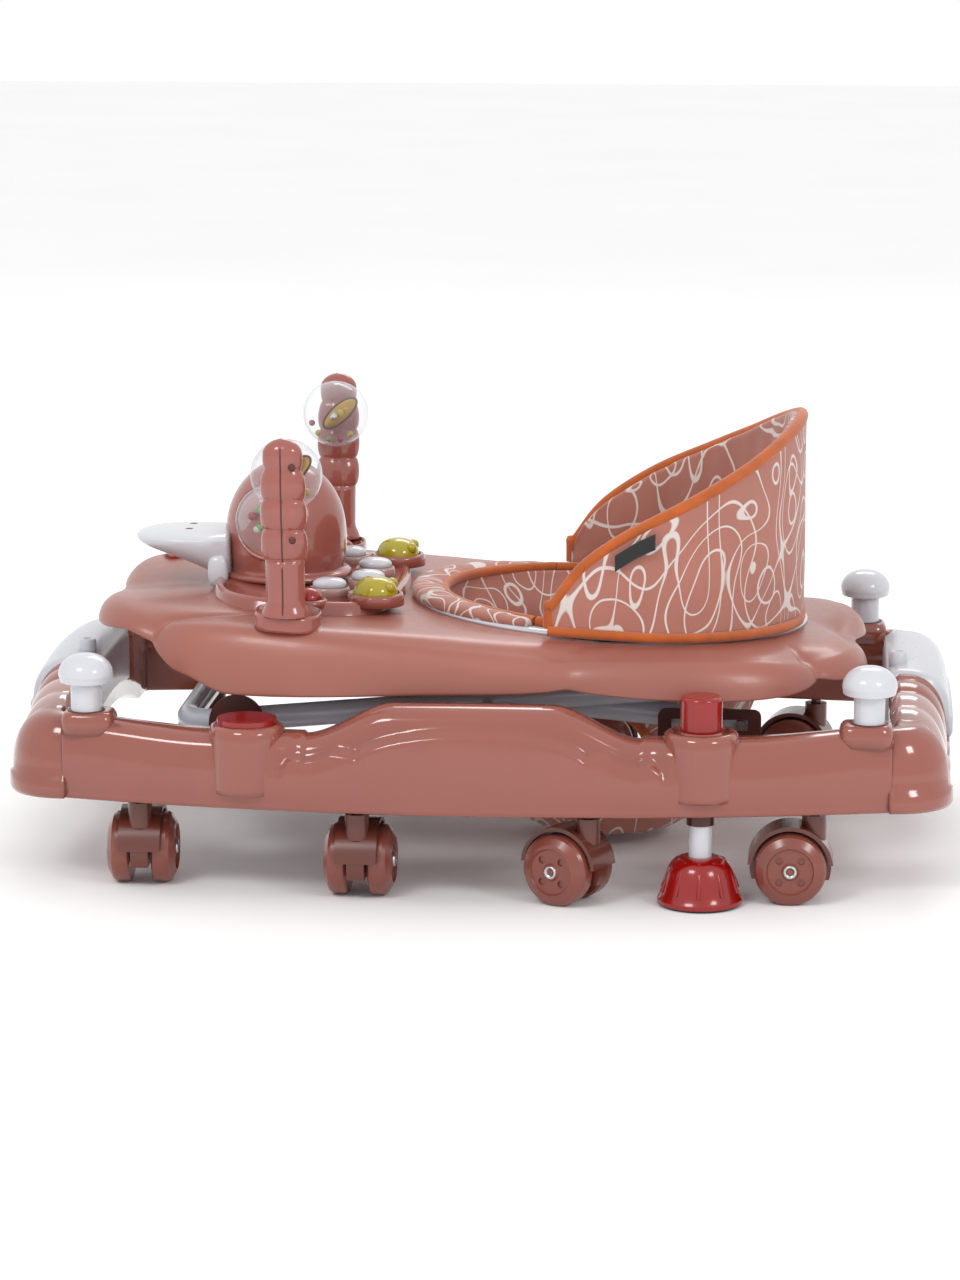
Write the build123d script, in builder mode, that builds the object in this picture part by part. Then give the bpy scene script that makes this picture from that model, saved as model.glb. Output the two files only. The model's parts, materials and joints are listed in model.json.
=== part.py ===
"""Baby walker, folded flat: an eight-castor base, scissor legs, a lobed play tray and a padded seat.

Frame: +Z up, +X towards the backrest, -X towards the toys, -Y the child's left. Z = 0 is the floor.
"""

from build123d import *
from math import asin, cos, pi, radians, sin, tan
import os

# ---- driving dimensions, millimetres ----
RAIL_HALF_LENGTH = 306
RAIL_OUTER_Y = 247
RAIL_END_OUTER_Y = 210
RAIL_INNER_Y = 203
RAIL_END_INNER_Y = 178
RAIL_BOTTOM = 69
RAIL_END_TOP = 129
RAIL_VALLEY_TOP = 124
RAIL_HUMP_TOP = 147
WALL = 3

BAR_INNER_X = 303
BAR_OUTER_X = 350
BAR_ARCH_TOP = 152
BAR_ARCH_BOTTOM = 92
BAR_FOOT_Y = 148
BAR_PROFILE_Y = 216
COVER_HALF_WIDTH = 82
COVER_WALL = 2.5

KNOB_X = 289
KNOB_Y = 198
KNOB_STEM_R = 11.45
KNOB_PAD_TOP = 134
KNOB_TOP = 176

STOPPER_X = 167
STOPPER_Y = 215
BOSS_R = 28
BOSS_TOP = 130
ROD_R = 8.5
SLEEVE_R = 10.25

CASTER_STATIONS = ((-250, 197), (-85, 222), (85, 222), (250, 197))
CASTER_HEADINGS = {"left": (92, 88, 152, 180), "right": (262, 280, 195, 170)}
STEM_R = 4
WHEEL_R = 26.5
WHEEL_OFFSET = 17
WHEEL_INNER_Y = 8
WHEEL_OUTER_Y = 25.5
AXLE_R = 2.5

LEG_TUBE_R = 9
LEG_TUBE_WALL = 1.3
LEG_BEND_R = 30
LEG_LENGTH = 378
LEG_A_Y = 148
LEG_B_Y = 127
LEG_NOSE = 42
LEG_TAIL = 11
PIVOT_X = -182
PIVOT_A_Z = 118
PIVOT_B_Z = 152
PIN_R = 4
FIT = 0.05
PLATE = 3

TRAY_FRONT_X = -314
TRAY_REAR_X = 302
TRAY_HALF_WIDTH = 197
TRAY_SKIRT_Z = 144
TRAY_TOP_Z = 186
TRAY_TILT = 3.2
TRAY_WALL = 3
TRAY_SQUARENESS = 3.3

SEAT_X = 90
SEAT_HOLE_X = 142
SEAT_HOLE_Y = 130
BACK_REAR_X = 241
BACK_HALF_WIDTH = 147
BACK_TOP = 340
PAD_THICKNESS = 15

TOY_X = -164
STALK_X = -143
STALK_FOOT_Y = 171
STALK_TOP_Y = 181
STALK_TOP = 337
BALL_R = 27
BALL_Y = 160
BALL_Z = 306
YELLOW_X = -85
YELLOW_Y = 86
KEY_PLACES = (("outer", -122, 70), ("inner", -97, 27))
KEY_TRAVEL = 3
PANEL_THICKNESS = 6

# ---- derived ----
LEG_ANGLE = asin((PIVOT_B_Z - PIVOT_A_Z) / LEG_LENGTH)
REAR_X = PIVOT_X + LEG_LENGTH * cos(LEG_ANGLE)
CROSS_X = (PIVOT_X + REAR_X) / 2
CROSS_Z = (PIVOT_A_Z + PIVOT_B_Z) / 2
SLOT_TRAVEL = 48
TILT = radians(TRAY_TILT)
UP = (Align.CENTER, Align.CENTER, Align.MIN)

os.makedirs("parts", exist_ok=True)


def save(part, name):
    """Label one sub-part and write it as a STEP file."""
    part.label = name
    export_step(part, f"parts/{name}.step")


def save_pair(part, name):
    """Write a left-hand sub-part and its mirror image."""
    save(part, f"{name}_left")
    save(part.mirror(Plane.XZ), f"{name}_right")


def tray_plane(lift=0):
    """The tray's top plane, tilted down towards the rear, raised by lift along its normal."""
    normal = Vector(sin(TILT), 0, cos(TILT))
    origin = Vector(0, 0, TRAY_TOP_Z) + normal * lift
    return Plane(origin=origin, x_dir=(cos(TILT), 0, -sin(TILT)), z_dir=normal)


def tray_height(x):
    """Height of the tray's top plane above the floor at x."""
    return TRAY_TOP_Z - x * tan(TILT)


def squared_oval(front_x, rear_x, half_width, squareness, count=32):
    """Points of an oval with full corners, counter-clockwise, symmetric about the X axis."""
    middle = (front_x + rear_x) / 2
    half_length = (rear_x - front_x) / 2
    points = []
    for i in range(count):
        turn = 2 * pi * i / count
        c = cos(turn)
        s = sin(turn)
        x = middle + half_length * abs(c) ** (2 / squareness) * (1 if c >= 0 else -1)
        y = half_width * abs(s) ** (2 / squareness) * (1 if s >= 0 else -1)
        points.append((x, y))
    return points


def y_cylinder(radius, x, y_low, y_high, z, mode=Mode.ADD):
    """A cylinder along Y between two values of Y."""
    with BuildSketch(Plane.XZ.offset(-y_high)) as disc:
        with Locations((x, z)):
            Circle(radius)
    extrude(disc.sketch, amount=y_high - y_low, mode=mode)


# ---- base: side rails, downward-open channels with a humped top ----
with BuildPart() as side_rail:
    with BuildSketch(Plane.XY.offset(RAIL_BOTTOM)):
        with BuildLine():
            bow = ThreePointArc(
                (-RAIL_HALF_LENGTH, -RAIL_END_OUTER_Y),
                (0, -RAIL_OUTER_Y),
                (RAIL_HALF_LENGTH, -RAIL_END_OUTER_Y),
            )
            inside = ThreePointArc(
                (RAIL_HALF_LENGTH, -RAIL_END_INNER_Y),
                (0, -RAIL_INNER_Y),
                (-RAIL_HALF_LENGTH, -RAIL_END_INNER_Y),
            )
            Line(bow @ 1, inside @ 0)
            Line(inside @ 1, bow @ 0)
        make_face()
    extrude(amount=RAIL_HUMP_TOP - RAIL_BOTTOM)
    with BuildSketch(Plane.XZ):
        with BuildLine():
            hump = ThreePointArc((-80, RAIL_HUMP_TOP - 5), (0, RAIL_HUMP_TOP), (80, RAIL_HUMP_TOP - 5))
            Polyline(
                hump @ 1,
                (108, RAIL_VALLEY_TOP),
                (210, RAIL_VALLEY_TOP),
                (RAIL_HALF_LENGTH, RAIL_END_TOP),
                (RAIL_HALF_LENGTH, RAIL_BOTTOM),
                (-RAIL_HALF_LENGTH, RAIL_BOTTOM),
                (-RAIL_HALF_LENGTH, RAIL_END_TOP),
                (-210, RAIL_VALLEY_TOP),
                (-108, RAIL_VALLEY_TOP),
                hump @ 0,
            )
        make_face()
    extrude(amount=RAIL_OUTER_Y + 1, mode=Mode.INTERSECT)
    with BuildSketch(Plane.XY.offset(RAIL_BOTTOM)):
        with BuildLine():
            inner_bow = ThreePointArc(
                (-RAIL_HALF_LENGTH + WALL, -RAIL_END_OUTER_Y + WALL),
                (0, -RAIL_OUTER_Y + WALL),
                (RAIL_HALF_LENGTH - WALL, -RAIL_END_OUTER_Y + WALL),
            )
            inner_back = ThreePointArc(
                (RAIL_HALF_LENGTH - WALL, -RAIL_END_INNER_Y - WALL),
                (0, -RAIL_INNER_Y - WALL),
                (-RAIL_HALF_LENGTH + WALL, -RAIL_END_INNER_Y - WALL),
            )
            Line(inner_bow @ 1, inner_back @ 0)
            Line(inner_back @ 1, inner_bow @ 0)
        make_face()
    extrude(amount=RAIL_VALLEY_TOP - WALL - RAIL_BOTTOM, mode=Mode.SUBTRACT)
    # Castor sockets, knob pads and the round bosses.
    with BuildSketch(Plane.XY.offset(RAIL_BOTTOM + 2)):
        with Locations(*[(x, -y) for x, y in CASTER_STATIONS]):
            Circle(9)
    extrude(amount=RAIL_VALLEY_TOP - RAIL_BOTTOM - 3)
    with BuildSketch(Plane.XY.offset(RAIL_END_TOP - 34)):
        with Locations((-KNOB_X + 2, -KNOB_Y + 2), (KNOB_X - 2, -KNOB_Y + 2)):
            RectangleRounded(37, 33, 9)
    extrude(amount=KNOB_PAD_TOP - RAIL_END_TOP + 34)
    with BuildSketch(Plane.XY.offset(RAIL_BOTTOM + 6)):
        with Locations((-STOPPER_X, -STOPPER_Y), (STOPPER_X, -STOPPER_Y)):
            Circle(BOSS_R)
    extrude(amount=BOSS_TOP - RAIL_BOTTOM - 6)
    with BuildSketch(Plane.XY.offset(RAIL_BOTTOM)):
        with Locations((-STOPPER_X, -STOPPER_Y), (STOPPER_X, -STOPPER_Y)):
            Circle(BOSS_R - WALL)
            Circle(SLEEVE_R + WALL, mode=Mode.SUBTRACT)
    extrude(amount=RAIL_VALLEY_TOP - WALL - RAIL_BOTTOM, mode=Mode.SUBTRACT)
    with Locations(*[(x, -y, RAIL_BOTTOM) for x, y in CASTER_STATIONS]):
        Cylinder(STEM_R + FIT, 38, align=UP, mode=Mode.SUBTRACT)
    with Locations((-KNOB_X, -KNOB_Y, RAIL_BOTTOM), (KNOB_X, -KNOB_Y, RAIL_BOTTOM)):
        Cylinder(KNOB_STEM_R + FIT, RAIL_HUMP_TOP, align=UP, mode=Mode.SUBTRACT)
    with Locations((-STOPPER_X, -STOPPER_Y, RAIL_BOTTOM), (STOPPER_X, -STOPPER_Y, RAIL_BOTTOM)):
        Cylinder(SLEEVE_R, RAIL_HUMP_TOP, align=UP, mode=Mode.SUBTRACT)
save_pair(side_rail.part, "side_rail")


# ---- base: arched end bars with white saddle covers ----
def bar_profile(x, top_lift, bottom_drop, half_width):
    """The end bar's elevation at x: an arch over a hollow, facing along X."""
    end_top = RAIL_END_TOP + 1 + top_lift
    foot = RAIL_BOTTOM - bottom_drop
    foot_y = BAR_FOOT_Y - bottom_drop
    with BuildSketch(Plane.YZ.offset(x)) as elevation:
        with BuildLine():
            over = ThreePointArc((-half_width, end_top), (0, BAR_ARCH_TOP + top_lift), (half_width, end_top))
            under = ThreePointArc((foot_y, foot), (0, BAR_ARCH_BOTTOM - bottom_drop), (-foot_y, foot))
            Polyline(over @ 1, (half_width, foot), under @ 0)
            Polyline(under @ 1, (-half_width, foot), over @ 0)
        make_face()
    return elevation.sketch


with BuildPart() as rear_bar:
    with BuildSketch(Plane.XY.offset(RAIL_BOTTOM)):
        with BuildLine():
            corner = CenterArc((BAR_OUTER_X - 44, -RAIL_END_OUTER_Y + 44), 44, -90, 90)
            far_corner = CenterArc((BAR_OUTER_X - 44, RAIL_END_OUTER_Y - 44), 44, 0, 90)
            Line(corner @ 1, far_corner @ 0)
            Polyline(
                far_corner @ 1,
                (RAIL_HALF_LENGTH, RAIL_END_INNER_Y - 2),
                (BAR_INNER_X, RAIL_END_INNER_Y - 10),
                (BAR_INNER_X, -RAIL_END_INNER_Y + 10),
                (RAIL_HALF_LENGTH, -RAIL_END_INNER_Y + 2),
                corner @ 0,
            )
        make_face()
    extrude(amount=BAR_ARCH_TOP - RAIL_BOTTOM)
    extrude(bar_profile(BAR_INNER_X - 1, 0, 0, BAR_PROFILE_Y), amount=60, mode=Mode.INTERSECT)
    extrude(
        bar_profile(RAIL_HALF_LENGTH + WALL, -WALL, WALL, RAIL_END_OUTER_Y - 18),
        amount=BAR_OUTER_X - RAIL_HALF_LENGTH - 3 * WALL,
        mode=Mode.SUBTRACT,
    )
save(rear_bar.part, "rear_bar")
with BuildPart() as front_bar:
    mirror(rear_bar.part, about=Plane.YZ)
save(front_bar.part, "front_bar")

with BuildPart() as rear_cover:
    extrude(
        bar_profile(BAR_INNER_X, COVER_WALL, 0, BAR_PROFILE_Y),
        amount=BAR_OUTER_X + COVER_WALL - BAR_INNER_X,
    )
    with Locations((BAR_OUTER_X, 0, BAR_ARCH_BOTTOM + 4)):
        Box(200, 2 * COVER_HALF_WIDTH, 200, align=UP, mode=Mode.INTERSECT)
    with Locations((BAR_INNER_X + 9, -56, BAR_ARCH_TOP - 3)):
        Cylinder(6.5, 9, align=UP)
    extrude(
        bar_profile(BAR_INNER_X, 0, 0, BAR_PROFILE_Y),
        amount=BAR_OUTER_X - BAR_INNER_X,
        mode=Mode.SUBTRACT,
    )
save(rear_cover.part, "rear_cover")
with BuildPart() as front_cover:
    mirror(rear_cover.part, about=Plane.YZ)
save(front_cover.part, "front_cover")

# ---- base: stopper sleeves in the rear bosses, plugs in the front bosses ----
with BuildPart() as stopper_sleeves:
    with Locations((STOPPER_X, -STOPPER_Y, RAIL_BOTTOM - 9), (STOPPER_X, STOPPER_Y, RAIL_BOTTOM - 9)):
        Cylinder(SLEEVE_R, BOSS_TOP - RAIL_BOTTOM + 9, align=UP)
        Cylinder(ROD_R + FIT, BOSS_TOP, align=UP, mode=Mode.SUBTRACT)
save(stopper_sleeves.part, "stopper_sleeves")

with BuildPart() as socket_plugs:
    with Locations((-STOPPER_X, -STOPPER_Y, BOSS_TOP - 30), (-STOPPER_X, STOPPER_Y, BOSS_TOP - 30)):
        Cylinder(SLEEVE_R, 30, align=UP)
    with Locations((-STOPPER_X, -STOPPER_Y, BOSS_TOP), (-STOPPER_X, STOPPER_Y, BOSS_TOP)):
        Cylinder(BOSS_R - 6, 4, align=UP)
save(socket_plugs.part, "socket_plugs")

# ---- base: pull-up plug pins at the four corners ----
for end, sign in (("front", -1), ("rear", 1)):
    with BuildPart() as knob:
        with BuildSketch(Plane.XZ):
            with BuildLine():
                cap = Spline((20.2, KNOB_TOP - 15), (17, KNOB_TOP - 6), (9.5, KNOB_TOP - 0.8), (0, KNOB_TOP))
                Polyline(
                    cap @ 0,
                    (19, KNOB_TOP - 20),
                    (KNOB_STEM_R, KNOB_TOP - 23),
                    (KNOB_STEM_R, RAIL_BOTTOM + 26),
                    (0, RAIL_BOTTOM + 26),
                    cap @ 1,
                )
            make_face()
        revolve(axis=Axis.Z)
    placed = knob.part.moved(Location((sign * KNOB_X, -KNOB_Y, 0)))
    save_pair(placed, f"{end}_knob")

# ---- base: parking stoppers, each a cap, a rod and a domed foot on a rubber pad ----
with BuildPart() as stopper_cap:
    with Locations((STOPPER_X, -STOPPER_Y, BOSS_TOP)):
        Cylinder(15.5, 26, align=UP)
    fillet(stopper_cap.edges().sort_by(Axis.Z)[-1], radius=3)
save_pair(stopper_cap.part, "stopper_cap")

with BuildPart() as stopper_rod:
    with Locations((STOPPER_X, -STOPPER_Y, 36)):
        Cylinder(ROD_R, BOSS_TOP - 36, align=UP)
save_pair(stopper_rod.part, "stopper_rod")

with BuildPart() as stopper_foot:
    with BuildSketch(Plane.XZ):
        with BuildLine():
            bell = Spline((12.5, 36), (20.5, 32), (26, 20), (31.5, 5))
            Polyline(bell @ 1, (31.5, 2), (0, 2), (0, 36), bell @ 0)
        make_face()
    revolve(axis=Axis.Z)
with BuildPart() as stopper_pad:
    Cylinder(26, 2, align=UP)
foot_set = Compound(children=[stopper_foot.part, stopper_pad.part])
save(foot_set.moved(Location((STOPPER_X, -STOPPER_Y, 0))), "stopper_foot_left")
save(foot_set.moved(Location((STOPPER_X, STOPPER_Y, 0))), "stopper_foot_right")

# ---- castors: a hooded fork on a stem and twin wheels on one axle ----
with BuildPart() as fork:
    with BuildSketch(Plane.XZ.offset(-15.5)):
        with Locations((WHEEL_OFFSET, WHEEL_R)):
            Circle(31.5)
            Circle(28.5, mode=Mode.SUBTRACT)
        with Locations((WHEEL_OFFSET, 0)):
            Rectangle(80, 2 * WHEEL_R + 6, mode=Mode.SUBTRACT)
    extrude(amount=31)
    with BuildSketch(Plane.XZ.offset(-6.5)):
        with Locations((WHEEL_OFFSET, WHEEL_R)):
            Circle(30)
        with Locations((WHEEL_OFFSET, WHEEL_R - 40)):
            Rectangle(80, 60, mode=Mode.SUBTRACT)
    extrude(amount=13)
    with Locations((0, 0, 46)):
        Cylinder(9, 19, align=UP)
        Cylinder(STEM_R, 58, align=UP)
    with BuildSketch(Plane.XZ.offset(-20)):
        with Locations((WHEEL_OFFSET, WHEEL_R)):
            Circle(28.5)
    extrude(amount=13.5, mode=Mode.SUBTRACT)
    with BuildSketch(Plane.XZ.offset(6.5)):
        with Locations((WHEEL_OFFSET, WHEEL_R)):
            Circle(28.5)
    extrude(amount=13.5, mode=Mode.SUBTRACT)
    y_cylinder(AXLE_R + FIT, WHEEL_OFFSET, -8, 8, WHEEL_R, mode=Mode.SUBTRACT)

with BuildPart() as wheel:
    with BuildSketch(Plane.XY):
        with BuildLine():
            Polyline(
                (AXLE_R, WHEEL_INNER_Y),
                (WHEEL_R - 1.5, WHEEL_INNER_Y),
                (WHEEL_R, WHEEL_INNER_Y + 1.5),
                (WHEEL_R, 19),
                (WHEEL_R - 1.5, 21.5),
                (20, WHEEL_OUTER_Y - 1),
                (17.5, WHEEL_OUTER_Y),
                (16.5, WHEEL_OUTER_Y - 1.8),
                (6.5, WHEEL_OUTER_Y - 1.8),
                (5.5, WHEEL_OUTER_Y - 0.6),
                (AXLE_R, WHEEL_OUTER_Y - 0.6),
                (AXLE_R, WHEEL_INNER_Y),
            )
        make_face()
    revolve(axis=Axis.Y)
    with BuildSketch(Plane.XZ.offset(-WHEEL_OUTER_Y)):
        with PolarLocations(11.5, 4, start_angle=45):
            Circle(2.8)
    extrude(amount=3.4, mode=Mode.SUBTRACT)
with BuildPart() as other_wheel:
    mirror(wheel.part, about=Plane.XZ)
with BuildPart() as axle:
    y_cylinder(AXLE_R, 0, -WHEEL_OUTER_Y, WHEEL_OUTER_Y, 0)
axle_place = Location((WHEEL_OFFSET, 0, WHEEL_R))
wheel_set = Compound(children=[wheel.part, other_wheel.part, axle.part]).moved(axle_place)
for side, side_sign in (("left", -1), ("right", 1)):
    for number, (x, y) in enumerate(CASTER_STATIONS, start=1):
        heading = CASTER_HEADINGS[side][number - 1]
        place = Location((x, side_sign * y, 0), (0, 0, heading))
        save(fork.part.moved(place), f"caster_{side}_{number}_fork")
        save(wheel_set.moved(place), f"caster_{side}_{number}_wheels")


# ---- scissor legs: two U-shaped tubes, open at the rear ----
def along_leg(x, z, distance, slope):
    """The point a distance beyond (x, z) along a leg that climbs by slope radians."""
    return (x + distance * cos(slope), z + distance * sin(slope))


def leg_points(side_y, nose, tail):
    """Corners of a U-shaped centre line whose crossbar is at the nose."""
    return (
        (tail[0], -side_y, tail[1]),
        (nose[0], -side_y, nose[1]),
        (nose[0], side_y, nose[1]),
        (tail[0], side_y, tail[1]),
    )


def rail_inner_y(x):
    """How far the side rail's inner face is from the middle at x."""
    return RAIL_INNER_Y - (RAIL_INNER_Y - RAIL_END_INNER_Y) * (x / RAIL_HALF_LENGTH) ** 2


def side_pin(x, z, low, high, side):
    """A pin along Y between two distances from the middle, on one side."""
    near, far = sorted((side * low, side * high))
    y_cylinder(PIN_R, x, near, far, z)


def end_plug(origin, direction):
    """A push-in plug with a flange, closing a tube end that faces along direction."""
    with BuildSketch(Plane(origin=origin, z_dir=direction)) as flange:
        Circle(LEG_TUBE_R)
    with BuildSketch(Plane(origin=origin, z_dir=direction)) as spigot:
        Circle(LEG_TUBE_R - LEG_TUBE_WALL)
    extrude(flange.sketch, amount=2)
    extrude(spigot.sketch, amount=-5)


a_nose = along_leg(PIVOT_X, PIVOT_A_Z, -LEG_NOSE, LEG_ANGLE)
a_tail = along_leg(REAR_X, PIVOT_B_Z, LEG_TAIL, LEG_ANGLE)
b_nose = along_leg(PIVOT_X, PIVOT_B_Z, -LEG_NOSE, -LEG_ANGLE)
b_tail = along_leg(REAR_X, PIVOT_A_Z, LEG_TAIL, -LEG_ANGLE)

with BuildPart() as leg_a_tube:
    with BuildLine() as a_line:
        FilletPolyline(*leg_points(LEG_A_Y, a_nose, a_tail), radius=LEG_BEND_R)
    with BuildSketch(Plane(origin=a_line.line @ 0, z_dir=a_line.line % 0)):
        Circle(LEG_TUBE_R)
        Circle(LEG_TUBE_R - LEG_TUBE_WALL, mode=Mode.SUBTRACT)
    sweep(path=a_line.line)
    for y in (-LEG_A_Y, LEG_A_Y):
        y_cylinder(PIN_R + FIT, PIVOT_X, y - 12, y + 12, PIVOT_A_Z, mode=Mode.SUBTRACT)
        y_cylinder(PIN_R, CROSS_X, y - 12, y + 12, CROSS_Z, mode=Mode.SUBTRACT)
        y_cylinder(PIN_R, REAR_X, y - 12, y + 12, PIVOT_B_Z, mode=Mode.SUBTRACT)
save(leg_a_tube.part, "leg_a_tube")

with BuildPart() as leg_b_tube:
    with BuildLine() as b_line:
        FilletPolyline(*leg_points(LEG_B_Y, b_nose, b_tail), radius=LEG_BEND_R)
    with BuildSketch(Plane(origin=b_line.line @ 0, z_dir=b_line.line % 0)):
        Circle(LEG_TUBE_R)
        Circle(LEG_TUBE_R - LEG_TUBE_WALL, mode=Mode.SUBTRACT)
    sweep(path=b_line.line)
    for y in (-LEG_B_Y, LEG_B_Y):
        y_cylinder(PIN_R + FIT, PIVOT_X, y - 12, y + 12, PIVOT_B_Z, mode=Mode.SUBTRACT)
        y_cylinder(PIN_R + FIT, CROSS_X, y - 12, y + 12, CROSS_Z, mode=Mode.SUBTRACT)
        y_cylinder(PIN_R, REAR_X, y - 12, y + 12, PIVOT_A_Z, mode=Mode.SUBTRACT)
save(leg_b_tube.part, "leg_b_tube")

# Tube-end plugs, the sliding pins at the open rear ends and the cross pins in the middle.
with BuildPart() as leg_a_fittings:
    for side in (-1, 1):
        end_plug((a_tail[0], side * LEG_A_Y, a_tail[1]), (cos(LEG_ANGLE), 0, sin(LEG_ANGLE)))
        side_pin(REAR_X, PIVOT_B_Z, LEG_A_Y - 9, LEG_A_Y + 15, side)
        side_pin(CROSS_X, CROSS_Z, LEG_B_Y - 11, LEG_A_Y + 11, side)
save(leg_a_fittings.part, "leg_a_fittings")

with BuildPart() as leg_b_fittings:
    for side in (-1, 1):
        end_plug((b_tail[0], side * LEG_B_Y, b_tail[1]), (cos(LEG_ANGLE), 0, -sin(LEG_ANGLE)))
        side_pin(REAR_X, PIVOT_A_Z, LEG_B_Y - 9, LEG_B_Y + 16, side)
save(leg_b_fittings.part, "leg_b_fittings")

# ---- base: leg brackets, a pivot plate at the front and a slotted plate at the rear of each rail ----
SLOT_LEFT = REAR_X - SLOT_TRAVEL - PIN_R
SLOT_RIGHT = REAR_X + PIN_R + 1
SLOT_MIDDLE = (SLOT_LEFT + SLOT_RIGHT) / 2
SLOT_LENGTH = SLOT_RIGHT - SLOT_LEFT
FRONT_PLATE_Y = LEG_A_Y + LEG_TUBE_R + 1
REAR_PLATE_Y = LEG_B_Y + LEG_TUBE_R + 2.5


def bracket_foot(x, length, plate_y, z):
    """The flat foot that joins a bracket plate to the rail's inner face."""
    reach = min(rail_inner_y(abs(x) + length / 2), STOPPER_Y - BOSS_R) - 0.5
    with BuildSketch(Plane.XY.offset(z)) as foot:
        with Locations((x, -(plate_y + reach) / 2)):
            Rectangle(length, reach - plate_y)
    extrude(foot.sketch, amount=PLATE)


with BuildPart() as leg_bracket:
    with BuildSketch(Plane.XZ.offset(FRONT_PLATE_Y)):
        with Locations((PIVOT_X, PIVOT_A_Z)):
            Circle(21)
        with Locations((PIVOT_X, PIVOT_A_Z - 12)):
            Rectangle(42, 24)
    extrude(amount=PLATE)
    bracket_foot(PIVOT_X, 42, FRONT_PLATE_Y, PIVOT_A_Z - 24)
    side_pin(PIVOT_X, PIVOT_A_Z, LEG_A_Y - 9, FRONT_PLATE_Y, -1)
    with BuildSketch(Plane.XZ.offset(REAR_PLATE_Y)):
        with Locations((SLOT_MIDDLE, PIVOT_A_Z - 3)):
            RectangleRounded(SLOT_LENGTH + 20, 30, 6)
        with Locations((SLOT_MIDDLE, PIVOT_A_Z)):
            Rectangle(SLOT_LENGTH, 2 * PIN_R + 1, mode=Mode.SUBTRACT)
    extrude(amount=PLATE)
    bracket_foot(SLOT_MIDDLE, SLOT_LENGTH, REAR_PLATE_Y, PIVOT_A_Z - 18)
save_pair(leg_bracket.part, "leg_bracket")

# ---- tray: a lobed shell with a drooping skirt and a seat opening ----
with BuildPart() as tray_void:
    with BuildSketch(Plane.XY.offset(TRAY_SKIRT_Z - 10)):
        with BuildLine():
            Spline(
                *squared_oval(TRAY_FRONT_X + 3, TRAY_REAR_X - 3, TRAY_HALF_WIDTH - 3, TRAY_SQUARENESS),
                periodic=True,
            )
        make_face()
    with BuildSketch(tray_plane(-TRAY_WALL)):
        with BuildLine():
            Spline(*squared_oval(-293, 269, 181, 3.3), periodic=True)
        make_face()
    loft()

with BuildPart() as tray_shell:
    with BuildSketch(Plane.XY.offset(TRAY_SKIRT_Z - 10)):
        with BuildLine():
            Spline(
                *squared_oval(TRAY_FRONT_X, TRAY_REAR_X, TRAY_HALF_WIDTH, TRAY_SQUARENESS), periodic=True
            )
        make_face()
    with BuildSketch(tray_plane()):
        with BuildLine():
            Spline(*squared_oval(-296, 272, 184, 3.3), periodic=True)
        make_face()
    loft()
    add(tray_void.part, mode=Mode.SUBTRACT)
    # The skirt's lower edge sweeps up at the front.
    with BuildSketch(Plane.XZ.offset(-300)):
        with BuildLine():
            Polyline(
                (-320, 100),
                (-320, 180),
                (-272, 178),
                (-222, 155),
                (-190, TRAY_SKIRT_Z),
                (320, TRAY_SKIRT_Z),
                (320, 100),
                close=True,
            )
        make_face()
    extrude(amount=600, mode=Mode.SUBTRACT)
    with BuildSketch(tray_plane(-60)):
        with Locations((SEAT_X, 0)):
            Ellipse(SEAT_HOLE_X, SEAT_HOLE_Y)
    extrude(amount=80, mode=Mode.SUBTRACT)
save(tray_shell.part, "tray_shell")

with BuildPart() as tray_guides:
    for side in (-1, 1):
        low, high = sorted((side * (LEG_B_Y - LEG_TUBE_R - 4), side * (LEG_B_Y - LEG_TUBE_R - 1)))
        with BuildSketch(Plane.XZ.offset(-high)):
            with Locations((PIVOT_X, PIVOT_B_Z + 20)):
                Rectangle(22, 64)
        extrude(amount=high - low)
        side_pin(PIVOT_X, PIVOT_B_Z, LEG_B_Y - LEG_TUBE_R - 1, LEG_B_Y + 9, side)
        low, high = sorted((side * FRONT_PLATE_Y, side * (FRONT_PLATE_Y + PLATE)))
        with BuildSketch(Plane.XZ.offset(-high)):
            with Locations((SLOT_MIDDLE, PIVOT_B_Z + 20)):
                Rectangle(SLOT_LENGTH + 20, 60)
            with Locations((SLOT_MIDDLE, PIVOT_B_Z)):
                Rectangle(SLOT_LENGTH, 2 * PIN_R + 1, mode=Mode.SUBTRACT)
        extrude(amount=high - low)
    add(tray_void.part, mode=Mode.INTERSECT)
save(tray_guides.part, "tray_guides")

# ---- seat: plastic ring, hanging sling, wrap-around backrest ----
with BuildPart() as seat_ring:
    with BuildSketch(tray_plane()):
        with Locations((SEAT_X, 0)):
            Ellipse(SEAT_HOLE_X + 11, SEAT_HOLE_Y + 11)
            Ellipse(SEAT_HOLE_X - 5, SEAT_HOLE_Y - 5, mode=Mode.SUBTRACT)
    extrude(amount=3)
    with BuildSketch(tray_plane()):
        with Locations((SEAT_X, 0)):
            Ellipse(SEAT_HOLE_X - 0.5, SEAT_HOLE_Y - 0.5)
            Ellipse(SEAT_HOLE_X - 5, SEAT_HOLE_Y - 5, mode=Mode.SUBTRACT)
    extrude(amount=-12)
save(seat_ring.part, "seat_ring")


def seat_bowl(inset):
    """The sling's body: wide at the ring, narrow at the crotch, inset from the outer surface."""
    with BuildSketch(tray_plane(3)) as mouth:
        with Locations((SEAT_X, 0)):
            Ellipse(SEAT_HOLE_X - 6 - inset, SEAT_HOLE_Y - 6 - inset)
    with BuildSketch(Plane.XY.offset(155)) as waist:
        with Locations((SEAT_X - 4, 0)):
            Ellipse(120 - inset, 104 - inset)
    with BuildSketch(Plane.XY.offset(9 + inset)) as crotch:
        with Locations((SEAT_X - 4, 0)):
            Ellipse(74 - inset, 58 - inset)
    with BuildPart() as bowl:
        loft([mouth.sketch, waist.sketch, crotch.sketch])
    return bowl.part


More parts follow.
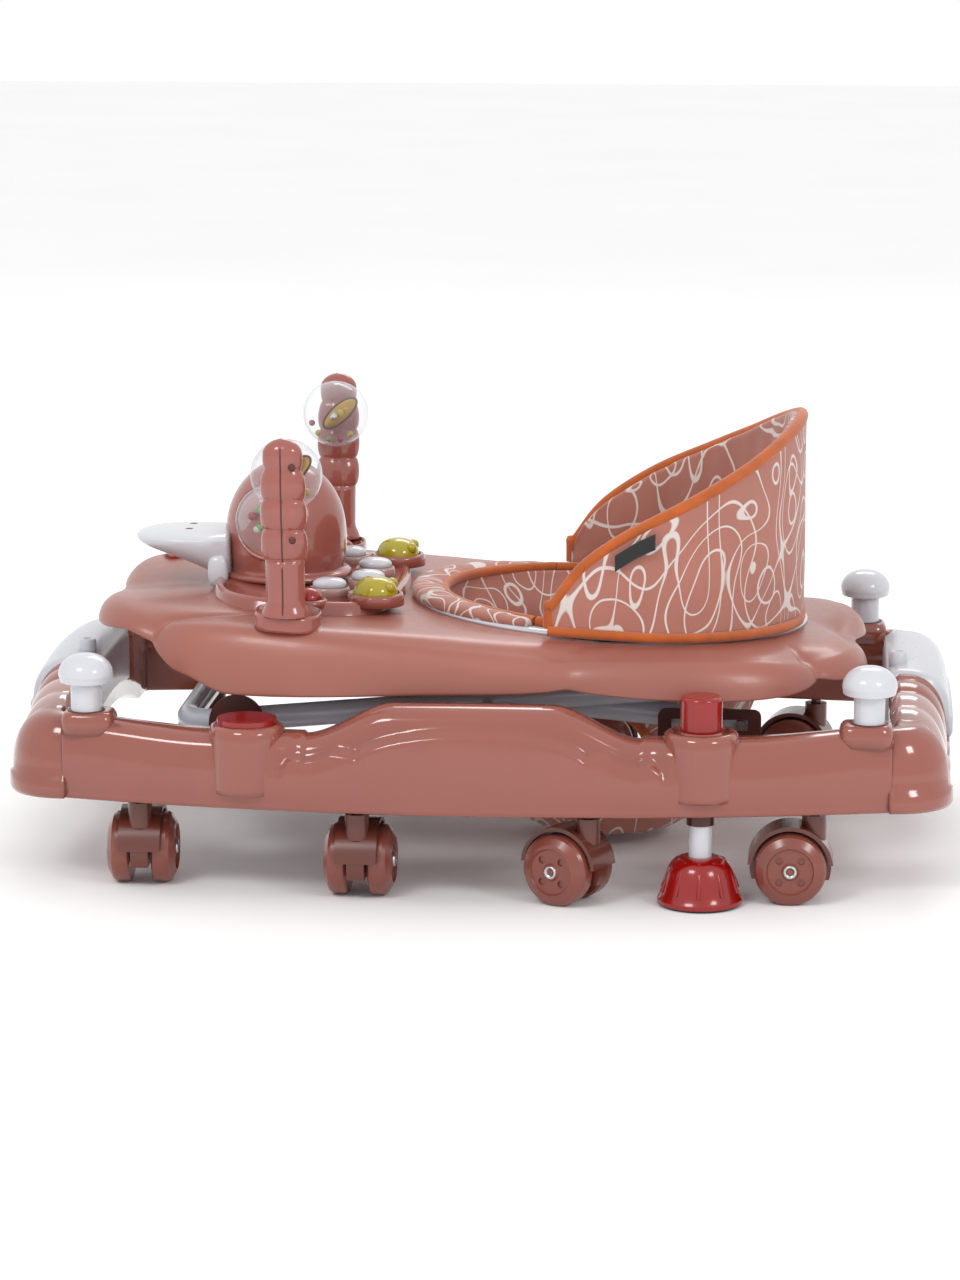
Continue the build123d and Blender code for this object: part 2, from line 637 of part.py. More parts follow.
with BuildPart() as seat_sling:
    add(seat_bowl(0))
    add(seat_bowl(6), mode=Mode.SUBTRACT)
    # Two leg holes, towards the front.
    for side in (-1, 1):
        with BuildSketch(Plane.XZ.offset(-side * 170)):
            with Locations((SEAT_X - 12, 78)):
                Ellipse(48, 44)
        extrude(amount=side * 160, mode=Mode.SUBTRACT)
    with BuildSketch(tray_plane(1)):
        with Locations((SEAT_X, 0)):
            Ellipse(SEAT_HOLE_X - 12, SEAT_HOLE_Y - 12)
    extrude(amount=10, mode=Mode.SUBTRACT)
save(seat_sling.part, "seat_sling")

with BuildPart() as backrest_pad:
    with BuildSketch(Plane.XY.offset(160)):
        with BuildLine():
            outer = ThreePointArc((130, BACK_HALF_WIDTH), (BACK_REAR_X, 0), (130, -BACK_HALF_WIDTH))
            inner = ThreePointArc(
                (130, -BACK_HALF_WIDTH + PAD_THICKNESS),
                (BACK_REAR_X - PAD_THICKNESS, 0),
                (130, BACK_HALF_WIDTH - PAD_THICKNESS),
            )
            Polyline(outer @ 1, (48, -BACK_HALF_WIDTH), (48, -BACK_HALF_WIDTH + PAD_THICKNESS), inner @ 0)
            Polyline(inner @ 1, (48, BACK_HALF_WIDTH - PAD_THICKNESS), (48, BACK_HALF_WIDTH), outer @ 0)
        make_face()
    extrude(amount=BACK_TOP - 160)
    with BuildSketch(Plane.XZ.offset(-200)):
        with BuildLine():
            slope = Spline((50, 224), (66, 240), (130, 282), (200, 318), (246, BACK_TOP))
            Polyline(
                slope @ 1,
                (250, tray_height(250) + 4),
                (40, tray_height(40) + 4),
                (40, 224),
                slope @ 0,
            )
        make_face()
    extrude(amount=400, mode=Mode.INTERSECT)
save(backrest_pad.part, "backrest_pad")


# ---- toys: panel, duck-shaped dome with window and bill, rattles on stalks, keys and buttons ----
def panel_top(x):
    """Height of the toy panel's upper face at x."""
    return tray_height(x) + PANEL_THICKNESS


with BuildPart() as toy_panel:
    with BuildSketch(tray_plane()):
        with Locations((TOY_X + 22, 0)):
            RectangleRounded(150, 236, 45)
        with Locations((STALK_X, -STALK_FOOT_Y + 20), (STALK_X, STALK_FOOT_Y - 20)):
            RectangleRounded(58, 66, 24)
    extrude(amount=PANEL_THICKNESS)
save(toy_panel.part, "toy_panel")

DOME_FOOT = panel_top(TOY_X)
DOME_TOP = 293
with BuildPart() as dome_shell:
    with BuildSketch(Plane.XZ):
        with BuildLine():
            egg = Spline((46, DOME_FOOT + 6), (47, DOME_FOOT + 24), (38, DOME_FOOT + 62), (0, DOME_TOP))
            Polyline(egg @ 1, (0, DOME_TOP - 3), (35, DOME_FOOT + 60), (43, DOME_FOOT + 6), egg @ 0)
        make_face()
    revolve(axis=Axis.Z)
dome_place = Location((TOY_X, 0, 0))
save(dome_shell.part.moved(dome_place), "dome_shell")

with BuildPart() as duck_bill:
    with BuildSketch(Plane.XY.offset(227)):
        with BuildLine():
            tip = ThreePointArc((-232, 34), (-281, 0), (-232, -34))
            root_arc = ThreePointArc((-200.6, -30), (TOY_X - 47.5, 0), (-200.6, 30))
            Line(tip @ 1, root_arc @ 0)
            Line(root_arc @ 1, tip @ 0)
        make_face()
    extrude(amount=11)
save(duck_bill.part, "duck_bill")

with BuildPart() as stalk:
    with BuildSketch(Plane.XY.offset(panel_top(STALK_X) + 1)):
        with Locations((STALK_X, -STALK_FOOT_Y)):
            RectangleRounded(30, 25, 10)
    with BuildSketch(Plane.XY.offset(272)):
        with Locations((STALK_X, -STALK_TOP_Y + 1)):
            RectangleRounded(28, 20, 9)
    with BuildSketch(Plane.XY.offset(STALK_TOP)):
        with Locations((STALK_X, -STALK_TOP_Y - 1)):
            RectangleRounded(22, 15, 7)
    loft()
    # Axle that carries the rattle ball on the inner face.
    y_cylinder(2.5, STALK_X, -STALK_TOP_Y, -BALL_Y + 8, BALL_Z)
save_pair(stalk.part, "stalk")

with BuildPart() as rattle_ball:
    with BuildSketch(Plane.XY):
        with BuildLine():
            shell_arc = CenterArc((0, 0), BALL_R, -15, 105)
            Polyline(shell_arc @ 1, (0, BALL_R - 2))
            inner_arc = ThreePointArc(
                (0, BALL_R - 2), ((BALL_R - 2) * sin(radians(52)), (BALL_R - 2) * cos(radians(52))), (25, -4)
            )
            Line(inner_arc @ 1, shell_arc @ 0)
        make_face()
    revolve(axis=Axis.Y)
    with BuildSketch(Plane.XZ.offset(-BALL_R + 1.5)):
        Circle(4.5)
        Circle(2.5 + FIT, mode=Mode.SUBTRACT)
    extrude(amount=BALL_R - 2)
save_pair(rattle_ball.part.moved(Location((STALK_X, -BALL_Y, BALL_Z))), "rattle_ball")

for label, x, y in KEY_PLACES:
    with BuildPart() as key:
        with BuildSketch(tray_plane(PANEL_THICKNESS + KEY_TRAVEL + 0.5)):
            with Locations((x, -y)):
                Ellipse(13, 10)
        extrude(amount=9)
        fillet(key.edges().sort_by(Axis.Z)[-1], radius=4)
    save_pair(key.part, f"{label}_key")

with BuildPart() as yellow_button:
    with BuildSketch(Plane.XZ):
        with BuildLine():
            lens = Spline((17, 0), (15.5, 9), (9, 15.5), (0, 17.5))
            Polyline(lens @ 1, (0, 0), lens @ 0)
        make_face()
    revolve(axis=Axis.Z)
button_plane = tray_plane(PANEL_THICKNESS + KEY_TRAVEL + 0.5)
button_place = Plane(
    origin=button_plane.from_local_coords((YELLOW_X, -YELLOW_Y, 0)),
    x_dir=button_plane.x_dir,
    z_dir=button_plane.z_dir,
)
save_pair(yellow_button.part.moved(button_place.location), "yellow_button")

with BuildPart() as red_buttons:
    with BuildSketch(tray_plane(PANEL_THICKNESS)):
        with Locations((-134, -108), (-134, 108)):
            Circle(11)
    extrude(amount=10)
    fillet(red_buttons.edges().group_by(Axis.Z)[-1], radius=4)
save(red_buttons.part, "red_buttons")

with BuildPart() as button_sockets:
    with BuildSketch(tray_plane(PANEL_THICKNESS)):
        with Locations((YELLOW_X, -YELLOW_Y), (YELLOW_X, YELLOW_Y)):
            Circle(20)
            Circle(17.5, mode=Mode.SUBTRACT)
        for label, x, y in KEY_PLACES:
            with Locations((x, -y), (x, y)):
                Ellipse(16, 13)
                Ellipse(13.5, 10.5, mode=Mode.SUBTRACT)
    extrude(amount=7)
save(button_sockets.part, "button_sockets")
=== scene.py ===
"""Looks for the folded baby walker: sculpted base and tray, padded seat, toys and printed fabric."""

import json
from math import atan2, cos, pi, radians, sin, tan

import bmesh
import bpy
import numpy as np
from mathutils import Euler, Matrix, Vector


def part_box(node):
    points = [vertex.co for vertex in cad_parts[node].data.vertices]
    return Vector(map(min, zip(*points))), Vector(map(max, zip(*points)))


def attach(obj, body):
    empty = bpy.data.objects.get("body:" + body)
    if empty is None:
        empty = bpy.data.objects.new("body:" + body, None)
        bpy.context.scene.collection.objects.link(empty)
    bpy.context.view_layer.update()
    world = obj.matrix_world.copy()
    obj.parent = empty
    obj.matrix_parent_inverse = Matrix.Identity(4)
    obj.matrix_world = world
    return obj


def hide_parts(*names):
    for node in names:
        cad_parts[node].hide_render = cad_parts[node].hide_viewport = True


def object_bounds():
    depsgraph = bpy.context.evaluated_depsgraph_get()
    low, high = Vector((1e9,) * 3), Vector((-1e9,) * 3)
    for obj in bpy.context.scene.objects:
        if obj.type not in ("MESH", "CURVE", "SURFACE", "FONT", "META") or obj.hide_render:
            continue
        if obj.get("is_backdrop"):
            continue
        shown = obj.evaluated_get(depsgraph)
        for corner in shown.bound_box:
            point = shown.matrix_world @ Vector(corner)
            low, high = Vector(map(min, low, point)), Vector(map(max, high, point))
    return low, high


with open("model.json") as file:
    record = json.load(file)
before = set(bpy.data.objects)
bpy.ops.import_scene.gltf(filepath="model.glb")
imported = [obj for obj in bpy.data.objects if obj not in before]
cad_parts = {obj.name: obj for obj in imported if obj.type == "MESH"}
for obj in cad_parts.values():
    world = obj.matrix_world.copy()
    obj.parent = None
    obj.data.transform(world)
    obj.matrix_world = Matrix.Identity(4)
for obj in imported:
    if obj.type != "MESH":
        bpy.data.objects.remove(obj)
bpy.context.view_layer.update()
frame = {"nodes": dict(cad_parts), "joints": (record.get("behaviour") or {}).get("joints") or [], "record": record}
NODES = frame["nodes"]
MM = 0.001
STUDIO_GAIN = 0.72
SIDES = ((-1, "left"), (1, "right"))


# ---------------------------------------------------------------- small helpers
def smooth(value, low, high):
    """0 below low, 1 above high, eased in between."""
    t = min(max((value - low) / (high - low), 0.0), 1.0)
    return t * t * (3 - 2 * t)


def power(value, exponent):
    """A signed power, for squared-off ovals."""
    return abs(value) ** exponent * (1 if value >= 0 else -1)


def circle(count):
    """Angles evenly round a full turn."""
    return [2 * pi * k / count for k in range(count)]


def make_object(name, verts, faces, material):
    """A smooth-shaded mesh object from points in millimetres."""
    mesh = bpy.data.meshes.new(name)
    mesh.from_pydata([tuple(c * MM for c in v) for v in verts], [], faces)
    mesh.validate()
    bm = bmesh.new()
    bm.from_mesh(mesh)
    bmesh.ops.recalc_face_normals(bm, faces=bm.faces)
    bm.to_mesh(mesh)
    bm.free()
    for polygon in mesh.polygons:
        polygon.use_smooth = True
    obj = bpy.data.objects.new(name, mesh)
    bpy.context.scene.collection.objects.link(obj)
    mesh.materials.append(material)
    return obj


def grid(name, rows, material, wrap_columns=False, caps=False, skip=None):
    """A surface through rows of points; each row can close on itself, and the ends can be capped."""
    n = len(rows)
    m = len(rows[0])
    verts = [p for row in rows for p in row]
    faces = []
    for i in range(n - 1):
        for j in range(m if wrap_columns else m - 1):
            if skip and skip(i, j):
                continue
            k = i + 1
            q = (j + 1) % m
            faces.append((i * m + j, i * m + q, k * m + q, k * m + j))
    if caps:
        faces.append(tuple(range(m)))
        faces.append(tuple((n - 1) * m + j for j in reversed(range(m))))
    return make_object(name, verts, faces, material)


def tube(name, points, radius, material, closed=False):
    """A round cord-like tube through points, in millimetres."""
    curve = bpy.data.curves.new(name, "CURVE")
    curve.dimensions = "3D"
    curve.bevel_depth = radius * MM
    curve.bevel_resolution = 3
    spline = curve.splines.new("NURBS")
    spline.points.add(len(points) - 1)
    for point, spot in zip(spline.points, points):
        point.co = (*[c * MM for c in spot], 1)
    spline.use_cyclic_u = closed
    spline.use_endpoint_u = not closed
    spline.order_u = 4
    curve.use_fill_caps = True
    curve.materials.append(material)
    obj = bpy.data.objects.new(name, curve)
    bpy.context.scene.collection.objects.link(obj)
    return obj


def revolve(name, profile, centre, material, axis="z", segments=48):
    """A surface of revolution from (radius, height) pairs, about an axis through centre."""
    rows = []
    for radius, height in profile:
        row = []
        for turn in circle(segments):
            a = radius * cos(turn)
            b = radius * sin(turn)
            local = {"z": (a, b, height), "y": (a, height, b), "x": (height, a, b)}[axis]
            row.append(tuple(c + d for c, d in zip(centre, local)))
        rows.append(row)
    return grid(name, rows, material, wrap_columns=True, caps=True)


def ellipsoid(name, centre, radii, material, boxiness=0.0, rings=20, segments=40):
    """An ellipsoid, squared off by boxiness: 0 is round and 0.4 boxy."""
    flat = 1 - boxiness
    rows = []
    for i in range(1, rings):
        polar = pi * i / rings
        row = []
        for turn in circle(segments):
            row.append(
                (
                    centre[0] + radii[0] * power(sin(polar), flat) * power(cos(turn), flat),
                    centre[1] + radii[1] * power(sin(polar), flat) * power(sin(turn), flat),
                    centre[2] + radii[2] * power(cos(polar), flat),
                )
            )
        rows.append(row)
    return grid(name, rows, material, wrap_columns=True, caps=True)


def modify(obj, kind, **settings):
    """Adds one modifier."""
    modifier = obj.modifiers.new(kind.title(), kind)
    for key, value in settings.items():
        setattr(modifier, key, value)


def apply_all(obj):
    """Makes the modifiers of obj part of its mesh."""
    depsgraph = bpy.context.evaluated_depsgraph_get()
    obj.data = bpy.data.meshes.new_from_object(obj.evaluated_get(depsgraph))
    obj.modifiers.clear()


def place(obj, body, *nodes):
    """Rides obj on a body and hides the CAD nodes it stands for."""
    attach(obj, body)
    if nodes:
        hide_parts(*nodes)


# ---------------------------------------------------------------- materials
def new_material(name):
    """A node material: returns it, its node tree, its shader and its object coordinates."""
    material = bpy.data.materials.new(name)
    material["kind"] = name
    material.use_nodes = True
    nodes = material.node_tree.nodes
    shader = nodes["Principled BSDF"]
    coords = nodes.new("ShaderNodeTexCoord")
    return material, material.node_tree, shader, coords.outputs["Object"]


def noise(tree, vector, scale, detail=3.0, rough=0.5):
    """A noise texture's value."""
    node = tree.nodes.new("ShaderNodeTexNoise")
    node.inputs["Scale"].default_value = scale
    node.inputs["Detail"].default_value = detail
    node.inputs["Roughness"].default_value = rough
    tree.links.new(vector, node.inputs["Vector"])
    return node.outputs["Fac"]


def maths(tree, operation, a, b=None):
    """A maths node; a and b are numbers or sockets."""
    node = tree.nodes.new("ShaderNodeMath")
    node.operation = operation
    for k, value in enumerate((a, b)):
        if value is None:
            continue
        if isinstance(value, (int, float)):
            node.inputs[k].default_value = value
        else:
            tree.links.new(value, node.inputs[k])
    return node.outputs[0]


def ramp(tree, factor, low, high, colour_low, colour_high):
    """A colour ramp between two colours."""
    node = tree.nodes.new("ShaderNodeValToRGB")
    tree.links.new(factor, node.inputs["Fac"])
    first, last = node.color_ramp.elements
    first.position = low
    first.color = (*colour_low[:3], 1)
    last.position = high
    last.color = (*colour_high[:3], 1)
    return node.outputs["Color"]


def add_bump(tree, shader, height, strength, distance):
    """Bump on the shader's normal."""
    node = tree.nodes.new("ShaderNodeBump")
    node.inputs["Strength"].default_value = strength
    node.inputs["Distance"].default_value = distance
    tree.links.new(height, node.inputs["Height"])
    tree.links.new(node.outputs["Normal"], shader.inputs["Normal"])


def linear(*rgb):
    """Surface colour for a screen colour, 0 to 255, under the bright white studio."""
    return tuple(STUDIO_GAIN * (c / 255) ** 2.2 for c in rgb)


def shade(colour, factor):
    """A lighter or darker colour."""
    return tuple(min(c * factor, 1.0) for c in colour)


def plastic(name, colour, roughness=0.22, grain=0.06, coat=0.25, variation=0.06):
    """Moulded plastic: faint flow variation, a fine moulded grain and scuffed roughness."""
    material, tree, shader, coords = new_material(name)
    cloud = noise(tree, coords, 9, 3)
    tree.links.new(
        ramp(tree, cloud, 0.3, 0.7, shade(colour, 1 - variation), shade(colour, 1 + variation)),
        shader.inputs["Base Color"],
    )
    scuff = noise(tree, coords, 160, 4, 0.65)
    rough_low = maths(tree, "MULTIPLY", scuff, roughness * 0.5)
    tree.links.new(maths(tree, "ADD", rough_low, roughness * 0.75), shader.inputs["Roughness"])
    shader.inputs["Coat Weight"].default_value = coat
    shader.inputs["Coat Roughness"].default_value = 0.08
    add_bump(tree, shader, noise(tree, coords, 900, 2), grain, 0.0004)
    return material


def metal(name, colour, roughness, metallic=1.0):
    """Brushed or coated metal with fine streaks."""
    material, tree, shader, coords = new_material(name)
    stretch = tree.nodes.new("ShaderNodeMapping")
    stretch.inputs["Scale"].default_value = (20, 400, 400)
    tree.links.new(coords, stretch.inputs["Vector"])
    streak = noise(tree, stretch.outputs["Vector"], 1.5, 2)
    tree.links.new(
        ramp(tree, streak, 0.3, 0.7, shade(colour, 0.93), shade(colour, 1.05)), shader.inputs["Base Color"]
    )
    shader.inputs["Metallic"].default_value = metallic
    shader.inputs["Roughness"].default_value = roughness
    add_bump(tree, shader, streak, 0.05, 0.0003)
    return material


def clear(name, tint=(0.62, 0.66, 0.72), alpha=0.12):
    """Thin clear plastic: mostly see-through, with sharp highlights."""
    material, tree, shader, coords = new_material(name)
    facing = tree.nodes.new("ShaderNodeLayerWeight")
    facing.inputs["Blend"].default_value = 0.35
    rim = maths(tree, "POWER", facing.outputs["Facing"], 1.6)
    opacity = maths(tree, "ADD", maths(tree, "MULTIPLY", rim, 0.85), alpha)
    tree.links.new(opacity, shader.inputs["Alpha"])
    swirl = noise(tree, coords, 30, 2)
    tree.links.new(ramp(tree, swirl, 0.3, 0.7, shade(tint, 0.97), tint), shader.inputs["Base Color"])
    shader.inputs["Roughness"].default_value = 0.04
    shader.inputs["Coat Weight"].default_value = 1.0
    return material


def scribble(tree, coords, offset, scale, levels, width):
    """Curly contour lines: 1 on a line, 0 off it."""
    shift = tree.nodes.new("ShaderNodeMapping")
    shift.inputs["Location"].default_value = offset
    shift.inputs["Scale"].default_value = (1, 1, 0.62)
    tree.links.new(coords, shift.inputs["Vector"])
    field = noise(tree, shift.outputs["Vector"], scale, 0.0)
    bands = maths(tree, "FRACT", maths(tree, "MULTIPLY", field, levels))
    distance = maths(tree, "ABSOLUTE", maths(tree, "SUBTRACT", bands, 0.5))
    node = tree.nodes.new("ShaderNodeMapRange")
    node.inputs["From Min"].default_value = width
    node.inputs["From Max"].default_value = width * 0.6
    tree.links.new(distance, node.inputs["Value"])
    return node.outputs["Result"]


def weave(tree, coords, scale):
    """Crossed threads as a height."""
    total = None
    for direction in ("X", "Z"):
        wave = tree.nodes.new("ShaderNodeTexWave")
        wave.bands_direction = direction
        wave.inputs["Scale"].default_value = scale
        wave.inputs["Distortion"].default_value = 1.2
        tree.links.new(coords, wave.inputs["Vector"])
        height = wave.outputs["Fac"]
        total = height if total is None else maths(tree, "ADD", total, height)
    return total


def printed_fabric(name, ground, ink):
    """Woven cloth printed all over with fine curly lines."""
    material, tree, shader, coords = new_material(name)
    cloud = noise(tree, coords, 14, 3)
    base = ramp(tree, cloud, 0.3, 0.7, shade(ground, 0.9), shade(ground, 1.08))
    first = scribble(tree, coords, (0.0, 0.0, 0.0), 21, 6.0, 0.055)
    second = scribble(tree, coords, (3.1, 1.7, 0.4), 26, 6.0, 0.055)
    lines = maths(tree, "MAXIMUM", first, second)
    mix = tree.nodes.new("ShaderNodeMix")
    mix.data_type = "RGBA"
    mix.inputs["B"].default_value = (*ink, 1)
    tree.links.new(lines, mix.inputs["Factor"])
    tree.links.new(base, mix.inputs["A"])
    tree.links.new(mix.outputs["Result"], shader.inputs["Base Color"])
    shader.inputs["Roughness"].default_value = 0.72
    shader.inputs["Sheen Weight"].default_value = 0.25
    shader.inputs["Sheen Roughness"].default_value = 0.5
    add_bump(tree, shader, weave(tree, coords, 330), 0.25, 0.0004)
    return material


def plain_fabric(name, colour, thread=420):
    """Plain woven tape or webbing."""
    material, tree, shader, coords = new_material(name)
    cloud = noise(tree, coords, 60, 3)
    tree.links.new(
        ramp(tree, cloud, 0.3, 0.7, shade(colour, 0.82), shade(colour, 1.12)), shader.inputs["Base Color"]
    )
    shader.inputs["Roughness"].default_value = 0.78
    shader.inputs["Sheen Weight"].default_value = 0.3
    add_bump(tree, shader, weave(tree, coords, thread), 0.35, 0.0005)
    return material


TERRACOTTA = linear(160, 88, 74)
TRAY_PINK = linear(172, 104, 90)
base_plastic = plastic("base_plastic", TERRACOTTA, 0.14, 0.03, 0.6)
tray_plastic = plastic("tray_plastic", TRAY_PINK, 0.34, 0.08, 0.12)
toy_plastic = plastic("toy_plastic", linear(168, 94, 83), 0.16, 0.03, 0.5)
# Pale glossy pink: on the end bars' lobe crests it is a painted highlight for the gloss on each lobe. It is also
# the colour of the key collars and the window wells.
pale_and_highlight_plastic = plastic("pale_and_highlight_plastic", linear(192, 152, 146), 0.12, 0.02, 0.7)
# The castor hoods are the wheels' terracotta plastic, drawn darker as painted shade for the shadow they stand in.
castor_plastic = plastic("castor_plastic", linear(112, 58, 48), 0.24, 0.06, 0.2)
wheel_plastic = plastic("wheel_plastic", linear(142, 76, 64), 0.24, 0.06, 0.2)
# Dark brown: the brackets under the tray and rails are drawn this dark as painted shade for the shadow they sit
# in. The same colour paints shade in the knob gaps, nostril slots and screw holes. It also draws the post seams
# and the rattle card's printed edge.
bracket_plastic = plastic("bracket_plastic", linear(92, 46, 40), 0.42, 0.1, 0.0)
white_plastic = plastic("white_plastic", linear(226, 227, 234), 0.2, 0.04, 0.3, 0.02)
cover_plastic = plastic("cover_plastic", linear(215, 216, 224), 0.3, 0.05, 0.2, 0.03)
red_plastic = plastic("red_plastic", linear(160, 14, 10), 0.2, 0.03, 0.4)
coral_plastic = plastic("coral_plastic", linear(214, 84, 78), 0.25, 0.04, 0.3)
dark_red_plastic = plastic("dark_red_plastic", linear(80, 14, 12), 0.3, 0.05, 0.1)
yellow_plastic = plastic("yellow_plastic", linear(190, 172, 22), 0.16, 0.03, 0.5)
green_plastic = plastic("green_plastic", linear(120, 160, 90), 0.2, 0.03, 0.3)
cream_plastic = plastic("cream_plastic", linear(214, 214, 186), 0.3, 0.04, 0.2)
gold_card = metal("gold_card", linear(205, 165, 70), 0.3, 0.7)
tube_paint = plastic("tube_paint", linear(214, 220, 232), 0.25, 0.05, 0.3, 0.03)
steel = metal("steel", (0.55, 0.55, 0.56), 0.3)
rubber = plastic("rubber", (0.02, 0.02, 0.022), 0.6, 0.2, 0.0)
clear_plastic = clear("clear_plastic")
seat_fabric = printed_fabric("seat_fabric", linear(190, 122, 106), linear(240, 226, 220))
piping_fabric = plain_fabric("piping_fabric", linear(206, 98, 24))
label_fabric = plain_fabric("label_fabric", (0.012, 0.012, 0.014), 500)

# The record's slot for each material that isn't named after its slot.
SLOT_MATERIALS = {"tray_plastic": toy_plastic, "painted_tube": tube_paint, "steel_pins": steel}
for material in (
    base_plastic, castor_plastic, wheel_plastic, bracket_plastic, white_plastic, red_plastic,
    dark_red_plastic, yellow_plastic, clear_plastic, seat_fabric,
):
    SLOT_MATERIALS[material["kind"]] = material
for entry in frame["record"]["subparts"]:
    node = NODES[entry["node"]]
    node.data.materials.clear()
    node.data.materials.append(SLOT_MATERIALS[entry["material_slot"]])

# ---------------------------------------------------------------- base
RAIL_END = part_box("side_rail_right")[1].x / MM
RAIL_MID_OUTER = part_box("side_rail_right")[1].y / MM
RAIL_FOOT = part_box("side_rail_right")[0].z / MM
RAIL_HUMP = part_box("side_rail_right")[1].z / MM
RAIL_MID_INNER = RAIL_MID_OUTER - 44
HUMP_RISE = 23
VALLEY = RAIL_HUMP - HUMP_RISE
BOSS_X = 167
BOSS_Y = 215
KNOB_PAD_X = RAIL_END - 19
KNOB_PAD_Y = 197
KNOB_X = RAIL_END - 17
KNOB_Y = 198


def rail_outer(x):
    """The rail's outer face in plan: bowed outwards in the middle."""
    return RAIL_MID_OUTER - 37 * (x / RAIL_END) ** 2


def rail_inner(x):
    """The rail's inner face in plan."""
    return RAIL_MID_INNER - 25 * (x / RAIL_END) ** 2


def rail_top(x):
    """The rail's crest: low ends, a valley by each boss and a flat-topped hump."""
    a = abs(x)
    hump = HUMP_RISE * (1 - smooth(a, 58, 124)) - 2 * (a / 124) ** 2 * (a < 124)
    return VALLEY + 6 * smooth(a, 200, RAIL_END) + hump


def scallop(x):
    """Height of the cloud-shaped ledge on the rail's outer face."""
    a = abs(x)
    crown = 112 + 20 * max(1 - (a / 84) ** 2, 0) ** 0.6
    shoulder = 98 + 18 * max(1 - ((a - 104) / 36) ** 2, 0) ** 0.5
    return max(crown * (a < 84), shoulder)


def rail_row(x, side):
    """One closed cross-section of a rail, an open channel from below."""
    outer = rail_outer(x)
    inner = rail_inner(x)
    top = rail_top(x)
    ledge = scallop(x)
    depth = 8 * (1 - smooth(abs(x), 128, 150))
    points = [(inner + 2, RAIL_FOOT), (inner, RAIL_FOOT + 2), (inner, top - 9), (inner + 2.5, top - 3)]
    points += [(inner + 9, top), (outer - 20 - depth, top)]
    for k in range(1, 7):
        turn = k / 6 * pi / 2
        points.append((outer - 20 - depth + 18 * sin(turn), top - 14 + 14 * cos(turn)))
    low = RAIL_FOOT + 4
    high = top - 15
    for k in range(1, 34):
        z = high + (low - high) * k / 33
        bulge = 2 * sin(pi * (z - low) / (high - low))
        points.append((outer - 2 - depth * smooth(z, ledge - 5, ledge + 3) + bulge, z))
    points += [(outer - 2, RAIL_FOOT + 1), (outer - 3, RAIL_FOOT), (outer - 6, RAIL_FOOT)]
    points += [(outer - 9, top - 24), (inner + 8, top - 8), (inner + 5, RAIL_FOOT)]
    return [(x, side * y, z) for y, z in points]


def side_rail(side, word):
    """A side rail with its two bosses, the pads round its two knobs and a dark ring of painted shade in the gap
    round each knob.
    """
    stations = np.linspace(-RAIL_END, RAIL_END, 301)
    rows = [rail_row(x, side) for x in stations]
    rail = grid(f"rail_{word}", rows, base_plastic, wrap_columns=True, caps=True)
    place(rail, "base", f"side_rail_{word}")
    for x in (-BOSS_X, BOSS_X):
        top = VALLEY + 6
        profile = [(0.5, 80), (27, 80), (27.5, 84), (28, top - 12), (28, top - 5), (26.5, top - 1.5)]
        profile += [(24, top), (21, top), (20.5, top - 2), (16, top - 2), (15.5, top), (0.5, top)]
        place(revolve(f"boss_{word}_{int(x > 0)}", profile, (x, side * BOSS_Y, 0), base_plastic), "base")
        end = 1 if x > 0 else -1
        rows = []
        for z, grow in ((118, 2.0), (128, 1.5), (131.5, 0.5), (133.5, -1.0), (134, -3.0)):
            row = []
            for turn in circle(48):
                row.append(
                    (
                        end * KNOB_PAD_X + (18.5 + grow) * power(cos(turn), 0.5),
                        side * KNOB_PAD_Y + (16 + grow) * power(sin(turn), 0.5),
                        z,
                    )
                )
            rows.append(row)
        place(grid(f"knob_pad_{word}_{int(x > 0)}", rows, base_plastic, wrap_columns=True, caps=True), "base")
        # A dark ring in the gap round the knob: painted shade.
        ring = revolve(
            f"knob_gap_shade_{word}_{int(x > 0)}",
            [(11.6, 133), (14, 133), (14, 134.4), (11.6, 134.4)],
            (end * KNOB_X, side * KNOB_Y, 0),
            bracket_plastic,
        )
        place(ring, "base")


for side, word in SIDES:
    side_rail(side, word)

CORNER_Y = 172
COVER_HALF = 82
BAR_FACE = RAIL_END - 1.5
BAR_REACH = 44.5
LOBE_START = COVER_HALF + 4
LOBE_END = 168
LOBE_PITCH = 27.4


def bar_top(y):
    """Height of an end bar's arched crest."""
    return RAIL_HUMP - 17 + 22 * (1 - min(abs(y) / 175, 1) ** 2)


def bar_foot(y):
    """Height of an end bar's lower edge, arched over the floor."""
    return RAIL_FOOT + 23 * max(1 - (y / 148) ** 2, 0)


def lobe(y):
    """Three rounded ribs on each shoulder of an end bar: 0 in the grooves, 1 on the crests."""
    a = abs(y)
    if a < LOBE_START or a > LOBE_END:
        return 0.0
    return abs(sin(pi * (a - LOBE_START) / LOBE_PITCH)) ** 0.6


def bar_section(reach, foot, top, grow=0.0):
    """An end bar's cross-section as (distance outwards, height)."""
    lip = foot + 16
    points = [(2 - grow, foot), (-grow, foot + 2), (-grow, top - 14), (2 - grow, top - 5 + grow)]
    points.append((8, top + grow))
    for k in range(1, 13):
        turn = k / 12 * pi / 2
        points.append(
            (
                12 + (reach - 12 + grow) * power(sin(turn), 0.86),
                lip + (top + grow - lip) * power(cos(turn), 0.86),
            )
        )
    points += [(reach + 2.4 + grow, lip - 2), (reach + 2.6 + grow, foot + 3), (reach + 1 + grow, foot)]
    return points


